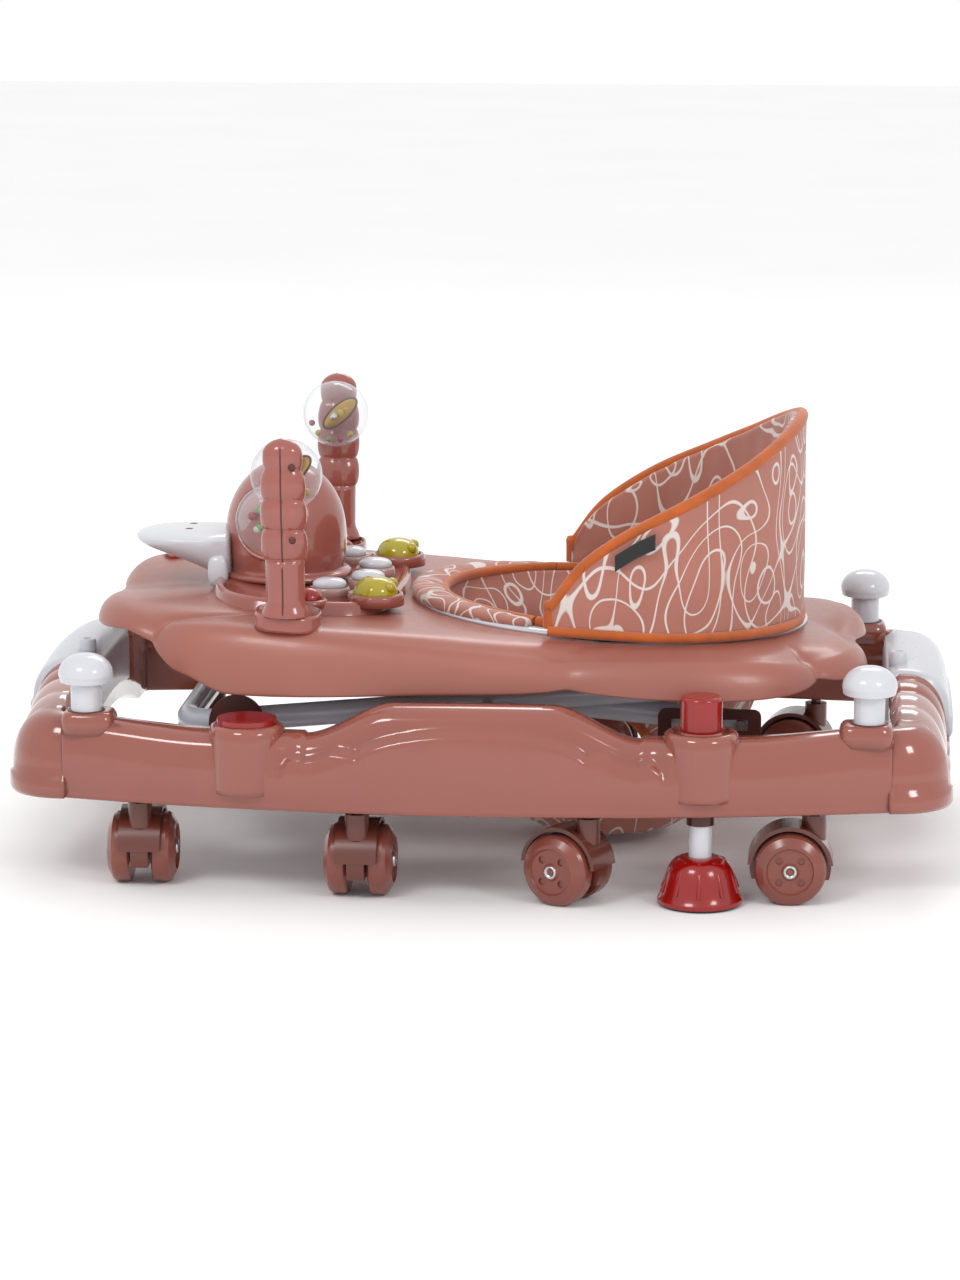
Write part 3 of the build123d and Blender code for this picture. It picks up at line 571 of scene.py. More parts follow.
def end_bar(sign, word):
    """An end bar with curved corners, its saddle cover and the cover's peg."""
    rows = []
    lobe_highlight_rows = []
    for k in range(0, 17):
        turn = -pi / 2 + pi / 2 * k / 16
        reach = 33.5 + 11 * (k / 16) ** 1.5
        section = bar_section(reach, RAIL_FOOT, bar_top(CORNER_Y + 8) - 1.5 + 1.5 * k / 16)
        row = [
            (sign * (BAR_FACE + d * cos(turn)), -CORNER_Y - 4.5 + d * sin(turn), z) for d, z in section
        ]
        rows.append(row)
        lobe_highlight_rows.append(0)
    for y in np.linspace(-CORNER_Y + 1, CORNER_Y - 1, 173):
        bulge = lobe(y)
        reach = BAR_REACH - 0.9 * (y / CORNER_Y) ** 2 - 2.5 * (abs(y) > LOBE_START) * (1 - bulge)
        groove = 3 * (1 - bulge) * (LOBE_START < abs(y) < LOBE_END)
        section = bar_section(reach, bar_foot(y), bar_top(y) - groove)
        rows.append([(sign * (BAR_FACE + d), y, z) for d, z in section])
        lobe_highlight_rows.append(1 if bulge > 0 else 0)
    mirrored = [[(x, -y, z) for x, y, z in row] for row in reversed(rows[:17])]
    rows += mirrored
    lobe_highlight_rows += [0] * 17
    bar = grid(f"end_bar_{word}", rows, base_plastic, wrap_columns=True, caps=True)
    # The lobe crest faces outside the cover take the pale pink, a painted highlight for the gloss on each lobe.
    bar.data.materials.append(pale_and_highlight_plastic)
    columns = len(rows[0])
    for polygon in bar.data.polygons:
        row_number = polygon.index // columns
        if row_number < len(lobe_highlight_rows) and lobe_highlight_rows[row_number] and abs(polygon.center.y) > 0.113:
            polygon.material_index = 1
    place(bar, "base", f"{word}_bar")
    cover_rows = []
    for y in np.linspace(-COVER_HALF, COVER_HALF, 61):
        edge = 1 - smooth(COVER_HALF - abs(y), 0, 4)
        section = bar_section(BAR_REACH, bar_foot(y) + 14, bar_top(y), 2.4 - 1.2 * edge)
        cover_rows.append([(sign * (BAR_FACE + d), y, z) for d, z in section])
    cover = grid(f"saddle_cover_{word}", cover_rows, cover_plastic, wrap_columns=True, caps=True)
    place(cover, "base", f"{word}_cover")
    peg_y = 56
    peg_top = bar_top(peg_y) + 10
    peg = revolve(
        f"cover_peg_{word}",
        [(0.5, peg_top - 14), (7.5, peg_top - 14), (6.8, peg_top - 8), (6.5, peg_top - 1.5), (5.2, peg_top)]
        + [(3.6, peg_top), (3.2, peg_top - 1.5), (0.5, peg_top - 1.5)],
        (sign * (RAIL_END + 6), -peg_y, 0),
        cover_plastic,
    )
    place(peg, "base")


end_bar(1, "rear")
end_bar(-1, "front")

# Steel axle ends on the castor wheels and rubber pads under the stoppers.
for joint in frame["joints"]:
    if not joint["name"].endswith("_spin") or "caster" not in joint["name"]:
        continue
    middle = Vector(joint["pos_m"])
    axis = Vector(joint["axis"]).normalized()
    for end in (-1, 1):
        cap_shape = [(0.6, 22), (5, 22), (5, 26), (3.6, 26.4), (3, 25), (0.6, 25)]
        washer = revolve(f"axle_end_{joint['child']}_{end > 0:d}", cap_shape, (0, 0, 0), steel, "y", 24)
        washer.data.transform(Vector((0, end, 0)).rotation_difference(axis).to_matrix().to_4x4())
        washer.data.transform(Matrix.Translation(middle))
        place(washer, joint["child"])
for word in ("left", "right"):
    low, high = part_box(f"stopper_foot_{word}")
    x = (low.x + high.x) / 2 / MM
    y = (low.y + high.y) / 2 / MM
    pad_profile = [(0.5, 0.2), (29, 0.2), (30.5, 1.2), (30.5, 3), (0.5, 3)]
    place(revolve(f"stopper_rubber_{word}", pad_profile, (x, y, 0), rubber), f"stopper_{word}")
    # Raised ribs round the domed foot.
    for k in range(10):
        turn = 2 * pi * (k + 0.5) / 10
        points = []
        for radius, z in ((17, 33.5), (21.5, 28.5), (24.5, 22.5), (27, 16), (29, 10.5)):
            points.append((x + radius * cos(turn), y + radius * sin(turn), z))
        place(tube(f"foot_rib_{word}_{k}", points, 1.5, red_plastic), f"stopper_{word}")

# ---------------------------------------------------------------- tray
TRAY_TILT = tan(radians(3.2))
TRAY_LEVEL = 186
TRAY_SQUARENESS = 3.3
SEAT_X = 90
HOLE_X = 142
HOLE_Y = 130
CUSPS = [radians(a) for a in (0, 33, 84, 139, 180, 221, 276, 327, 360)]


def tray_plane(x):
    """Height of the tray's deck, which slopes down towards the back."""
    return TRAY_LEVEL - x * TRAY_TILT


def petal(turn):
    """1 on the crest of a lobe, 0 at the cusp between two lobes."""
    for a, b in zip(CUSPS, CUSPS[1:]):
        if a <= turn <= b:
            return sin(pi * (turn - a) / (b - a)) ** 0.55
    return 0.0


def rim_height(x):
    """Height of the skirt's lower edge: high at the front, drooping along the sides."""
    return 144 + 11 * smooth(-x, 185, 225) + 26 * smooth(-x, 222, 275) + 4 * smooth(x, 230, 290)


def outline(turn, half_length, half_width):
    """A squared-off oval round the tray."""
    return (
        -6 + half_length * power(cos(turn), 2 / TRAY_SQUARENESS),
        half_width * power(sin(turn), 2 / TRAY_SQUARENESS),
    )


def deck_edge(turn):
    """The flat deck's edge, drawn in at the cusps."""
    size = 0.955 + 0.045 * petal(turn)
    return outline(turn, 283 * size, 181 * size)


def tray():
    """The lobed tray shell with its skirt, the seat ring's rim and the coral patch at the front."""
    rows = []
    turns = circle(300)
    for s in (0.0, 0.03, 0.12, 0.25, 0.4, 0.55, 0.7, 0.82, 0.92, 1.0):
        row = []
        for turn in turns:
            lift = petal(turn)
            hx = SEAT_X + (HOLE_X - 3) * cos(turn)
            hy = (HOLE_Y - 3) * sin(turn)
            ox, oy = deck_edge(turn)
            x = hx + (ox - hx) * s
            y = hy + (oy - hy) * s
            z = tray_plane(x) + 1.5 * s - 9 * (1 - lift) * s**2 - 4 * s**8
            row.append((x, y, z))
        rows.append(row)
    for t in (0.15, 0.3, 0.45, 0.6, 0.75, 0.88, 0.96, 1.0):
        row = []
        for turn in turns:
            lift = petal(turn)
            size = 0.95 + 0.05 * lift
            tx, ty = deck_edge(turn)
            ox, oy = outline(turn, 299 * size, 196.5 * size)
            spread = sin(t * pi / 2) ** 0.9
            x = tx + (ox - tx) * spread
            y = ty + (oy - ty) * spread
            start = tray_plane(tx) - 2.5 - 9 * (1 - lift)
            finish_z = rim_height(x) + 9 * (1 - lift)
            row.append((x, y, start + (finish_z - start) * (1 - cos(t * pi / 2)) ** 0.85))
        rows.append(row)
    shell = grid("tray_top", rows, tray_plastic, wrap_columns=True)
    modify(shell, "SOLIDIFY", thickness=0.0026, offset=-1.0)
    modify(shell, "SUBSURF", levels=1, render_levels=1)
    place(shell, "tray", "tray_shell")
    ring_rows = []
    for dx, dz in ((-6, -8), (-6, 1), (-4.5, 3), (0, 3.6), (8, 3.2), (10.5, 2), (11, 0.2), (9, 0.2)):
        row = []
        for turn in turns[::3]:
            x = SEAT_X + (HOLE_X + dx) * cos(turn)
            row.append((x, (HOLE_Y + dx) * sin(turn), tray_plane(x) + dz))
        ring_rows.append(row)
    ring = grid("seat_ring_rim", ring_rows, white_plastic, wrap_columns=True)
    modify(ring, "SOLIDIFY", thickness=0.0015, offset=-1.0)
    place(ring, "tray", "seat_ring")
    patch_rows = []
    for u in np.linspace(0, 1, 13):
        row = []
        for v in np.linspace(-1, 1, 25):
            x = -278 + 34 * u + 6 * v * v * (0.5 - u) * 2
            y = 105 + 34 * v * (1 - 0.35 * u) * (1 - 0.5 * (2 * u - 1) ** 4)
            row.append((x, y, tray_plane(x) + 1.2 + 4 * (1 - v**4) * (1 - (2 * u - 1) ** 4)))
        patch_rows.append(row)
    patch = grid("front_patch_right", patch_rows, coral_plastic)
    modify(patch, "SOLIDIFY", thickness=0.004, offset=-1.0)
    place(patch, "tray")


tray()


# ---------------------------------------------------------------- toys
def panel_plane(x):
    """Height the toys stand on."""
    return tray_plane(x) + 6


def rounded_outline(corner):
    """A unit outline between an oval (corner 1) and a square (near 0)."""
    return [(power(cos(turn), corner), power(sin(turn), corner)) for turn in circle(72)]


def raised_pad(name, centre_x, centre_y, half_x, half_y, corner, height, material):
    """A low moulded platform with a soft edge and a raised rim."""
    rows = []
    shape = rounded_outline(corner)
    steps = ((1.02, -4), (1.0, -1), (0.99, height - 1.5), (0.965, height + 1.2), (0.93, height + 1.2))
    for scale, lift in steps + ((0.905, height - 0.6), (0.86, height - 1.2), (0.02, height - 1.2)):
        row = []
        for u, v in shape:
            x = centre_x + half_x * u * scale
            row.append((x, centre_y + half_y * v * scale, tray_plane(x) + 1 + lift))
        rows.append(row)
    return grid(name, rows, material, wrap_columns=True, caps=True)


# The stalks, and the clear balls on their inner faces.
STALK_X = -143
BALL_Y = 160
BALL_Z = 306
BALL_RADIUS = 26.6

panel = raised_pad("toy_deck", -142, 0, 73, 117, 0.62, 6.5, toy_plastic)
place(panel, "tray", "toy_panel")
for side, word in SIDES:
    foot = raised_pad(f"stalk_deck_{word}", STALK_X, side * 156, 25, 27, 0.75, 7, toy_plastic)
    place(foot, "tray")

DOME_X = -164
DOME_TOP = min(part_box("dome_shell")[1].z / MM, 293)
WINDOW_X = DOME_X - 8
WINDOW_Z = 250


def dome_radius(t):
    """The duck head's outline: t is 0 at the foot and 1 at the crown."""
    return 47.2 * (1 - max((t - 0.27) / 0.74, 0) ** 2.25) ** 0.55 * (0.955 + 0.045 * smooth(t, 0, 0.2))


foot_z = panel_plane(DOME_X) + 3
dome_profile = [(51, foot_z - 1), (51, foot_z + 2), (48.5, foot_z + 4)]
for k in range(33):
    t = k / 32
    dome_profile.append((max(dome_radius(t), 0.6), foot_z + 4 + (DOME_TOP - foot_z - 4) * t))
dome = revolve("duck_head", dome_profile, (DOME_X, 0, 0), toy_plastic, segments=80)
place(dome, "tray", "dome_shell")
random = np.random.RandomState(7)
for side, word in SIDES:
    backing = ellipsoid(f"window_well_{word}", (WINDOW_X, side * 33, WINDOW_Z), (25, 8, 25), pale_and_highlight_plastic)
    place(backing, "tray")
    rim_points = []
    for turn in circle(36):
        height = WINDOW_Z + 28 * sin(turn)
        x = WINDOW_X - DOME_X + 27 * cos(turn)
        t = (height - foot_z - 4) / (DOME_TOP - foot_z - 4)
        reach = dome_radius(t) ** 2 - x * x
        rim_points.append((DOME_X + x, side * (max(reach, 4) ** 0.5 + 0.5), height))
    place(tube(f"window_rim_{word}", rim_points, 1.8, toy_plastic, closed=True), "tray")
    window = ellipsoid(f"window_bubble_{word}", (WINDOW_X, side * 34, WINDOW_Z), (27, 17, 28), clear_plastic)
    place(window, "tray")
    for k in range(9):
        colour = (red_plastic, green_plastic, cream_plastic)[k % 3]
        bead = ellipsoid(
            f"bead_{word}_{k}",
            (WINDOW_X + random.uniform(-15, 15), side * 43, 236 + random.uniform(-6, 26)),
            (3.4, 3.0, 3.4),
            colour,
            rings=10,
            segments=16,
        )
        place(bead, "tray")


def bill():
    """A broad spoon-shaped bill that droops at its root, with a dark ellipsoid of painted shade in the nostril
    slot on each side.
    """
    rows = []
    for u in np.linspace(0, 1, 31) ** 1.6:
        x = -281 + 78 * u
        blunt = (1 - (1 - u) ** 5) ** 0.5
        half = max(40 * blunt * (1 - 0.12 * smooth(u, 0.75, 1)), 0.8)
        top = 233 + 6.5 * blunt
        under = 233 - 9 * blunt - 29 * u**1.6
        row = []
        for turn in circle(40):
            y = half * power(cos(turn), 0.8)
            rise = (top - 233) if sin(turn) > 0 else (233 - under)
            row.append((x, y, 233 + rise * power(sin(turn), 0.9)))
        rows.append(row)
    body = grid("bill", rows, white_plastic, wrap_columns=True, caps=True)
    modify(body, "SUBSURF", levels=1, render_levels=1)
    place(body, "tray", "duck_bill")
    for side, word in SIDES:
        # Dark ellipsoids in the nostril slots: painted shade.
        nostril_shade = ellipsoid(f"nostril_{word}", (-238, side * 12, 238.2), (4.5, 2.0, 1.6), bracket_plastic)
        place(nostril_shade, "tray")
        lug = ellipsoid(f"bill_lug_{word}", (-213, side * 33, 210), (8, 7, 13), white_plastic, 0.3)
        place(lug, "tray")


bill()


def stalk(side, word):
    """A knobbly post in two halves, leaning outwards, that carries a clear rattle on its inner face."""
    rows = []
    base_z = panel_plane(STALK_X) + 2
    for k in range(101):
        t = k / 100
        z = base_z + (336.5 - base_z) * t
        y = 171 + 11.5 * smooth(z, base_z, 330)
        if z < 245:
            rx = 14.6 + 3.6 * (1 - smooth(z, base_z, base_z + 12))
            ry = 12.5 + 3 * (1 - smooth(z, base_z, base_z + 12))
        else:
            bump = abs(sin(pi * (z - 245) / 22.8)) ** 0.45
            shrink = 1 - 0.18 * smooth(z, 290, 336)
            rx = (14.2 + 3.2 * bump) * shrink
            ry = (8.5 + 2.6 * bump) * shrink
        if z > 326:
            end = max(1 - ((z - 326) / 10.6) ** 2, 0.002) ** 0.5
            rx *= end
            ry *= end
        row = []
        for turn in circle(48):
            pinch = 1 - 0.05 * max(1 - abs(abs(cos(turn)) / 0.08), 0)
            row.append((STALK_X + rx * cos(turn), side * y + ry * sin(turn) * pinch, z))
        rows.append(row)
    post = grid(f"post_{word}", rows, toy_plastic, wrap_columns=True, caps=True)
    place(post, "tray", f"stalk_{word}")
    outermost = 12 if side > 0 else 36
    seam = [(STALK_X - 0.6, row[outermost][1] + side * 0.15, row[0][2]) for row in rows[2:96:3]]
    place(tube(f"post_seam_{word}", seam, 0.55, bracket_plastic), "tray")
    # Dark discs on the two screw holes of each post: painted shade.
    for z in (262, 316):
        hole = [(0.4, -1), (2.6, -1), (2.6, 0.6), (0.4, 0.4)]
        centre = (STALK_X + 8, side * 190.5, z)
        screw = revolve(f"post_screw_hole_shade_{word}_{z}", hole, centre, bracket_plastic, "y", 16)
        place(screw, "tray")
    pin = [(0.4, 0), (2.3, 0), (2.3, 44), (0.4, 44)]
    axle = revolve(f"rattle_axle_{word}", pin, (STALK_X, side * BALL_Y - 22, BALL_Z), steel, "y", 20)
    place(axle, "tray")


for side, word in SIDES:
    stalk(side, word)


def rattle(side, word):
    """A clear two-part ball with a printed disc and loose beads inside."""
    profile = []
    for k in range(1, 30):
        turn = pi * k / 30
        profile.append((BALL_RADIUS * sin(turn), -BALL_RADIUS * cos(turn)))
    profile = [(r, h if side * h < 8 else side * 8) for r, h in profile]
    ball = revolve(f"rattle_shell_{word}", profile, (STALK_X, side * BALL_Y, BALL_Z), clear_plastic, "y", 56)
    place(ball, f"rattle_ball_{word}", f"rattle_ball_{word}")
    turns = circle(40)
    reach = BALL_RADIUS + 0.1
    band = [(STALK_X + reach * cos(turn), side * BALL_Y, BALL_Z + reach * sin(turn)) for turn in turns]
    place(tube(f"rattle_band_{word}", band, 0.5, clear_plastic, closed=True), f"rattle_ball_{word}")
    tilt = Euler((0, radians(-42), 0)).to_matrix().to_4x4()
    shift = Matrix.Translation(Vector((-0.139, side * 0.156, 0.307)))
    disc = ellipsoid(f"rattle_card_{word}", (0, 0, 0), (17, 1.2, 6.5), gold_card)
    disc.data.transform(shift @ tilt)
    edge = []
    for turn in circle(36):
        edge.append(tilt @ Vector((17.4 * cos(turn), 0, 6.9 * sin(turn))) + shift.translation / MM)
    place(tube(f"rattle_card_edge_{word}", edge, 0.9, bracket_plastic, closed=True), f"rattle_ball_{word}")
    pupil = ellipsoid(f"rattle_card_pupil_{word}", (0, 0, 0), (4.2, 1.9, 3.6), yellow_plastic)
    pupil.data.transform(shift @ tilt)
    place(pupil, f"rattle_ball_{word}")
    place(disc, f"rattle_ball_{word}")
    for k in range(5):
        turn = radians(200 + 28 * k)
        bead = ellipsoid(
            f"rattle_bead_{word}_{k}",
            (STALK_X + 20 * cos(turn), side * (BALL_Y - 6 - 2 * k), BALL_Z + 20 * sin(turn)),
            (2.6, 2.6, 2.6),
            (red_plastic, yellow_plastic, green_plastic)[k % 3],
            rings=10,
            segments=16,
        )
        place(bead, f"rattle_ball_{word}")


for side, word in SIDES:
    rattle(side, word)

RED_X = -134
RED_Y = 108

# Keys in collars, a yellow button in a dish and a fixed red button on each side.
for side, word in SIDES:
    for kind, x, y in (("outer", -122, 70), ("inner", -97, 27)):
        deck = panel_plane(x)
        socket_rows = []
        for scale, lift in ((1.2, -1), (1.16, 5), (1.1, 7), (1.05, 7), (1.04, -0.5)):
            row = []
            for turn in circle(48):
                across = side * y + 10.4 * scale * sin(turn)
                row.append((x + 13.4 * scale * cos(turn), across, deck + lift))
            socket_rows.append(row)
        collar = grid(f"key_collar_{kind}_{word}", socket_rows, pale_and_highlight_plastic, wrap_columns=True, caps=True)
        place(collar, "tray")
        cap = ellipsoid(f"key_cap_{kind}_{word}", (x, side * y, deck + 9), (13, 10, 5.2), white_plastic, 0.12)
        place(cap, f"{kind}_key_{word}", f"{kind}_key_{word}")
    x, y = -85, side * 86
    deck = panel_plane(x)
    dish = [(22, -1), (21.5, 6), (20.5, 8), (18.6, 8), (18.2, 5), (17.6, 1.2), (0.5, 1.2)]
    place(revolve(f"button_dish_{word}", dish, (x, y, deck), toy_plastic), "tray")
    dome_shape = [(16.6, 5.6), (17, 7)]
    dome_shape += [(17 * cos(a) ** 0.8, 7 + 13.5 * sin(a)) for a in np.linspace(0.1, 1.5, 12)]
    head = revolve(f"button_dome_{word}", dome_shape, (x, y, deck), yellow_plastic)
    place(head, f"yellow_button_{word}", f"yellow_button_{word}")
    for ear in (-1, 1):
        centre = (x + 11.5, y + ear * 8.5, deck + 13.5)
        name = f"button_ear_{word}_{ear > 0:d}"
        bump = ellipsoid(name, centre, (4.6, 4.6, 4.6), yellow_plastic, rings=12, segments=20)
        place(bump, f"yellow_button_{word}")
    cup = [(15, -1), (14.5, 3), (12.5, 4.2), (11.5, 3), (0.5, 3)]
    place(revolve(f"red_cup_{word}", cup, (RED_X, side * RED_Y, panel_plane(RED_X)), toy_plastic), "tray")
    red_shape = [(11, 2.5), (11, 4)]
    red_shape += [(11 * cos(a) ** 0.9, 4 + 8.5 * sin(a)) for a in np.linspace(0.1, 1.5, 10)]
    red = revolve(f"red_dome_{word}", red_shape, (RED_X, side * RED_Y, panel_plane(RED_X)), red_plastic)
    place(red, "tray")
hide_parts("red_buttons")
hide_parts("button_sockets")

# ---------------------------------------------------------------- seat
WING_FRONT = 50
BACK_X = 130
BACK_HALF = 147
PAD = 15
ARC_X = 88.2
ARC_RADIUS = 152.8
FOLD_DEPTH = 0.007
FACE_POINTS = 27
CLOTH_FRAMES = 20
ARC_HALF_TURN = atan2(BACK_HALF, BACK_X - ARC_X)
BACK_SLOPE_X = (50, 58, 78, 117, 158, 200, 230, 241)
BACK_SLOPE_Z = (200, 222, 242, 267, 286, 308, 328, 338)


def back_path(u, inset):
    """Plan of the wrap-around backrest: u runs from the left wing's front edge round to the right one's."""
    straight = BACK_X - WING_FRONT
    arc_length = 2 * ARC_HALF_TURN * ARC_RADIUS
    total = 2 * straight + arc_length
    d = u * total
    if d < straight:
        return WING_FRONT + d, inset - BACK_HALF
    if d > total - straight:
        return WING_FRONT + total - d, BACK_HALF - inset
    turn = ARC_HALF_TURN * (2 * (d - straight) / arc_length - 1)
    radius = ARC_RADIUS - inset
    return ARC_X + radius * cos(turn), radius * sin(turn)


def back_top(x):
    """The backrest's sloping upper edge."""
    return float(np.interp(x, BACK_SLOPE_X, BACK_SLOPE_Z))


def back_foot(x):
    """The backrest's lower edge."""
    return tray_plane(x) + 6


def backrest():
    """The padded wrap-around backrest and its piping."""
    rows = []
    steps = 84
    last = FACE_POINTS - 1
    for i in range(steps + 1):
        u = i / steps
        column = []
        ox, oy = back_path(u, 1.5)
        ix, iy = back_path(u, PAD - 2)
        low = back_foot(ox)
        high = back_top(ox) - 2
        for k in range(FACE_POINTS):
            v = k / last
            fold = 1 + FOLD_DEPTH * (sin(31 * u + 2 * v) + 0.6 * sin(73 * u - 5 * v)) * sin(pi * v)
            column.append((ARC_X + (ox - ARC_X) * fold, oy * fold, low + (high - low) * v))
        for k in range(FACE_POINTS):
            v = 1 - k / last
            fold = 1 + FOLD_DEPTH * (sin(37 * u + 3 * v) + 0.7 * sin(61 * u - 4 * v)) * sin(pi * v)
            column.append((ARC_X + (ix - ARC_X) * fold, iy * fold, low + (high - low) * v))
        rows.append(column)
    pad = grid("backrest_cushion", rows, seat_fabric, wrap_columns=True, caps=True)

    def seams(i, j):
        """True for the points along the cushion's four seams and its two ends."""
        return j in (0, last, FACE_POINTS, FACE_POINTS + last) or i in (0, steps)

    inflate(pad, 7 * MM, pressure=9.0, pinned=seams, columns=2 * FACE_POINTS)
    modify(pad, "SUBSURF", levels=1, render_levels=1)
    apply_all(pad)
    place(pad, "tray", "backrest_pad")
    edge = []
    for i in range(0, steps + 1, 3):
        x, y = back_path(i / steps, PAD / 2 - 3)
        edge.append((x, y, back_top(x) - 1.5))
    front_left = [(51, -BACK_HALF + 5, back_foot(50) + k) for k in (1, 12, 24)]
    front_right = [(51, BACK_HALF - 5, back_foot(50) + k) for k in (24, 12, 1)]
    place(tube("piping_top", front_left + edge + front_right, 4.7, piping_fabric), "tray")
    hem = []
    for i in range(0, steps + 1, 3):
        x, y = back_path(i / steps, 0)
        hem.append((min(x, 237), y, back_foot(x) - 0.5))
    place(tube("piping_foot", hem, 3.8, piping_fabric), "tray")


def inflate(obj, cap, pressure, pinned, columns):
    """Puffs a fabric shell with a short cloth simulation: seams stay put, and no point moves past cap."""
    group = obj.vertex_groups.new(name="seams")
    before = [v.co.copy() for v in obj.data.vertices]
    for v in obj.data.vertices:
        group.add([v.index], 1.0 if pinned(v.index // columns, v.index % columns) else 0.0, "REPLACE")
    cloth = obj.modifiers.new("Cloth", "CLOTH")
    cloth.settings.quality = 4
    cloth.settings.mass = 0.3
    cloth.settings.tension_stiffness = 12
    cloth.settings.compression_stiffness = 12
    cloth.settings.bending_stiffness = 0.6
    cloth.settings.vertex_group_mass = "seams"
    cloth.settings.use_pressure = True
    cloth.settings.uniform_pressure_force = pressure
    cloth.settings.effector_weights.gravity = 0
    cloth.collision_settings.use_collision = False
    cloth.point_cache.frame_start = 1
    cloth.point_cache.frame_end = CLOTH_FRAMES
    scene = bpy.context.scene
    for number in range(1, CLOTH_FRAMES + 1):
        scene.frame_set(number)
    depsgraph = bpy.context.evaluated_depsgraph_get()
    result = obj.evaluated_get(depsgraph).to_mesh()
    after = [v.co.copy() for v in result.vertices]
    obj.modifiers.clear()
    obj.vertex_groups.clear()
    for v, a, b in zip(obj.data.vertices, before, after):
        step = b - a
        if step.length > cap:
            step *= cap / step.length
        v.co = a + step
    obj.data.update()
    scene.frame_set(1)


LEG_HOLE_X = 78
LEG_HOLE_Z = 78
LEG_HOLE_HALF_X = 47
LEG_HOLE_HALF_Z = 43


def sling_reach(s):
    """The bag's half length and half width at depth s, from 0 at the ring to 1 at the bottom."""
    rx = (HOLE_X - 8) * (1 - s) ** 0.35 * 0.2 + (HOLE_X - 8) * 0.8 - 52 * s**1.3
    ry = (HOLE_Y - 9) - 24 * smooth(s, 0, 0.18) - 44 * s**1.5
    return rx, ry


def sling():
    """The hanging seat: a padded bag with a bound front edge and two bound leg holes."""
    turns = circle(96)
    rows = []
    for s in np.linspace(0, 1, 34):
        row = []
        for turn in turns:
            rx, ry = sling_reach(s)
            x = SEAT_X - 4 * s + rx * cos(turn)
            top = tray_plane(x) + 4
            z = top + (10 - top) * s
            fold = 1 + 0.012 * sin(pi * s) * (sin(9 * turn + 4 * s) + 0.6 * sin(17 * turn - 6 * s))
            row.append((SEAT_X + (x - SEAT_X) * fold, ry * sin(turn) * fold, z))
        rows.append(row)
    bottom = rows[-1]
    for scale in (0.85, 0.6, 0.3, 0.05):
        rows.append([(SEAT_X - 4 + (x - SEAT_X + 4) * scale, y * scale, z) for x, y, z in bottom])

    def hole(i, j):
        """True for the faces inside a leg hole."""
        x, y, z = rows[i][j]
        across = (x - LEG_HOLE_X) / LEG_HOLE_HALF_X
        up = (z - LEG_HOLE_Z) / LEG_HOLE_HALF_Z
        return abs(y) > 30 and across**2 + up**2 < 1

    bag = grid("seat_bag", rows, seat_fabric, wrap_columns=True, skip=hole)
    modify(bag, "SOLIDIFY", thickness=0.004, offset=-1.0)
    modify(bag, "SUBSURF", levels=1, render_levels=1)
    apply_all(bag)
    place(bag, "tray", "seat_sling")
    for side, word in SIDES:
        loop = []
        for turn in circle(30):
            x = LEG_HOLE_X + LEG_HOLE_HALF_X * cos(turn)
            z = LEG_HOLE_Z + LEG_HOLE_HALF_Z * sin(turn)
            s = (tray_plane(x) + 4 - z) / (tray_plane(x) - 6)
            rx, ry = sling_reach(s)
            across = max(1 - ((x - SEAT_X + 4 * s) / rx) ** 2, 0.02) ** 0.5
            loop.append((x, side * (ry * across - 1), z))
        place(tube(f"leg_binding_{word}", loop, 4.2, piping_fabric, closed=True), "tray")


FLAP_START = radians(112)
FLAP_END = radians(248)
FLAP_SPAN = radians(136)


def flap_fullness(turn):
    """0 at the flap's two ends and 1 in its middle."""
    return sin(pi * (turn - FLAP_START) / FLAP_SPAN) ** 0.5


def seat_front_flap():
    """The seat's front edge folded outwards over the ring, fullest in the middle."""
    rows = []
    for turn in np.linspace(FLAP_START, FLAP_END, 49):
        full = flap_fullness(turn)
        row = []
        for roll in circle(20):
            reach = (6 + 7 * full) * cos(roll)
            x = SEAT_X + (HOLE_X + reach) * cos(turn)
            ripple = 0.8 * sin(turn * 34) * full
            z = tray_plane(x) + 5 + (3 + 4.5 * full + ripple) * power(sin(roll), 0.8)
            row.append((x, (HOLE_Y + reach) * sin(turn), z))
        rows.append(row)
    flap = grid("seat_front_flap", rows, seat_fabric, wrap_columns=True, caps=True)
    modify(flap, "SUBSURF", levels=1, render_levels=1)
    place(flap, "tray")
    hem = []
    for turn in np.linspace(FLAP_START, FLAP_END, 33):
        full = flap_fullness(turn)
        x = SEAT_X + (HOLE_X - 4 - 8 * full) * cos(turn)
        hem.append((x, (HOLE_Y - 4 - 8 * full) * sin(turn), tray_plane(x) + 6))
    place(tube("seat_front_binding", hem, 4.2, piping_fabric), "tray")
    for side, word in SIDES:
        edge = []
        for turn in np.linspace(radians(62), FLAP_START, 17):
            x = SEAT_X + (HOLE_X - 8) * cos(turn)
            edge.append((x, side * (HOLE_Y - 5) * sin(turn), tray_plane(x) + 6))
        place(tube(f"seat_side_binding_{word}", edge, 4.2, piping_fabric), "tray")


backrest()
sling()
seat_front_flap()

# A plain woven tag sewn under the left wing's piping.
tag_rows = []
for u in np.linspace(0, 1, 9):
    row = []
    for v in np.linspace(0, 1, 5):
        x = 100 + 30 * u
        row.append((x, -BACK_HALF - 5.2 + 0.8 * sin(pi * u), back_top(x) - 9 - 12 * v))
    tag_rows.append(row)
tag = grid("woven_tag", tag_rows, label_fabric)
modify(tag, "SOLIDIFY", thickness=0.0008, offset=0.0)
place(tag, "tray")

# Soft rounded edges on the CAD castor parts that stay.
for name, obj in NODES.items():
    if not obj.hide_render and "caster" in name:
        modify(obj, "BEVEL", width=0.0006, segments=2, limit_method="ANGLE", angle_limit=radians(40))

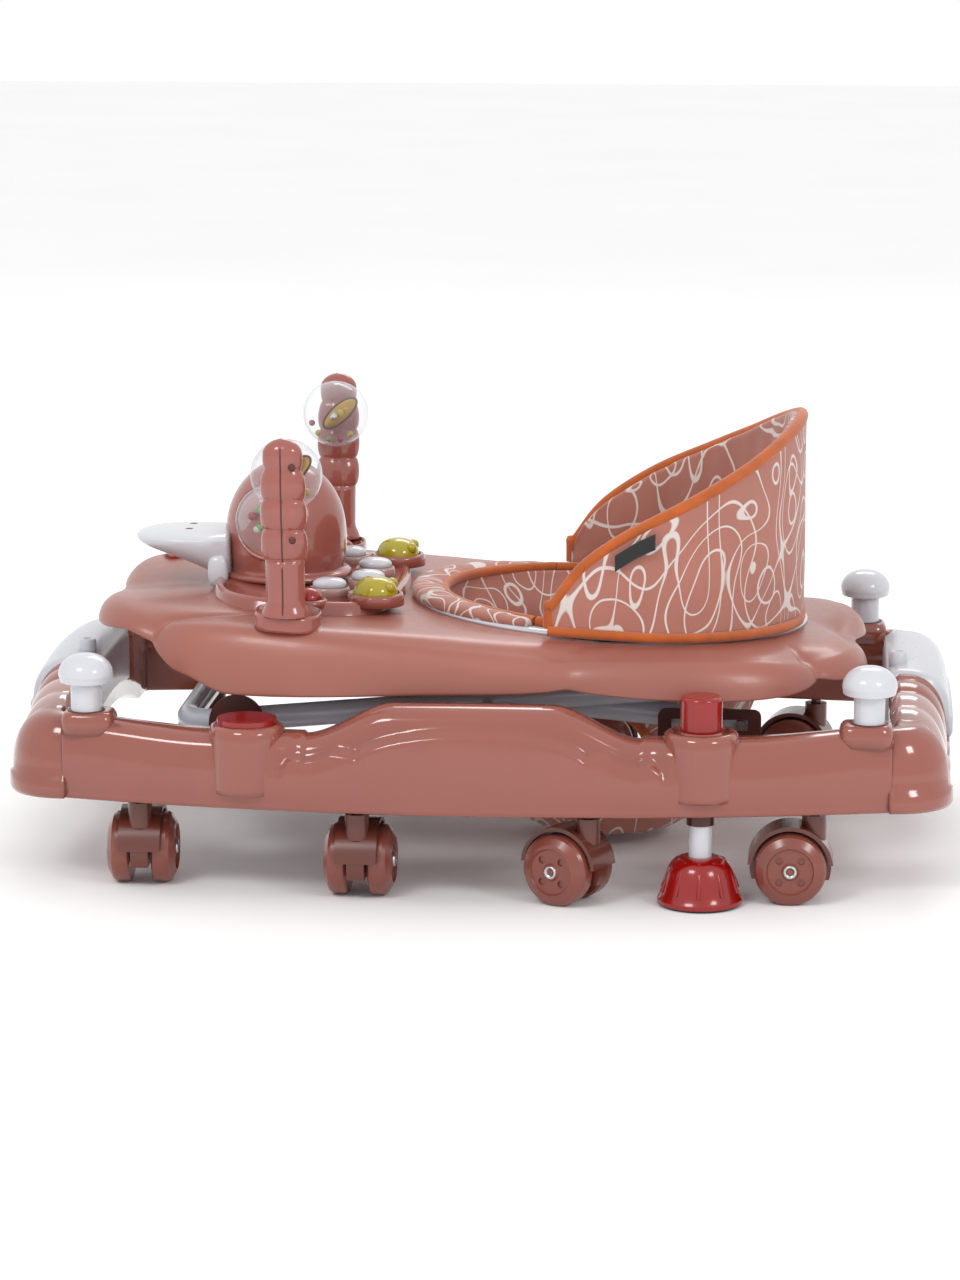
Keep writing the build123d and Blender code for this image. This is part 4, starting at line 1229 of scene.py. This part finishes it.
# ---------------------------------------------------------------- stage
floor_material, floor_tree, floor_shader, floor_coords = new_material("studio_floor")
floor_cloud = noise(floor_tree, floor_coords, 3, 2)
floor_tree.links.new(
    ramp(floor_tree, floor_cloud, 0.3, 0.7, (0.93, 0.93, 0.93), (0.95, 0.95, 0.95)),
    floor_shader.inputs["Base Color"],
)
floor_shader.inputs["Roughness"].default_value = 0.7
FLOOR_HALF = 9000
floor = make_object(
    "floor",
    [(x * FLOOR_HALF, y * FLOOR_HALF, 0) for x, y in ((-1, -1), (1, -1), (1, 1), (-1, 1))],
    [(0, 1, 2, 3)],
    floor_material,
)
floor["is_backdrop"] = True

world = bpy.data.worlds.new("studio")
bpy.context.scene.world = world
world.use_nodes = True
world.node_tree.nodes["Background"].inputs["Color"].default_value = (1.0, 1.0, 1.0, 1)
world.node_tree.nodes["Background"].inputs["Strength"].default_value = 1.0
bpy.context.scene.view_settings.view_transform = "Standard"


def area_light(name, location, target, size, power_w):
    """A rectangular lamp aimed at target."""
    data = bpy.data.lights.new(name, "AREA")
    data.shape = "RECTANGLE"
    data.size = size[0]
    data.size_y = size[1]
    data.energy = power_w
    light = bpy.data.objects.new(name, data)
    light.location = location
    light.rotation_euler = (Vector(target) - Vector(location)).to_track_quat("-Z", "Y").to_euler()
    bpy.context.scene.collection.objects.link(light)


area_light("key", (-1.2, -2.2, 2.4), (0, 0, 0.15), (1.0, 0.7), 26)
area_light("fill", (1.8, -1.8, 1.6), (0, 0, 0.15), (0.6, 0.6), 14)
area_light("rim", (0.3, 2.2, 2.2), (0, 0, 0.15), (1.6, 0.8), 18)

camera_data = bpy.data.cameras.new("camera")
camera_data.sensor_width = 36
camera_data.lens = 118.9
camera = bpy.data.objects.new("camera", camera_data)
bpy.context.scene.collection.objects.link(camera)
camera.location = (0.249, -3.228, 0.793)
camera_target = Vector((-0.0123, 0.0, 0.152))
camera.rotation_euler = (camera_target - camera.location).to_track_quat("-Z", "Y").to_euler()
bpy.context.scene.camera = camera

low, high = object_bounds()
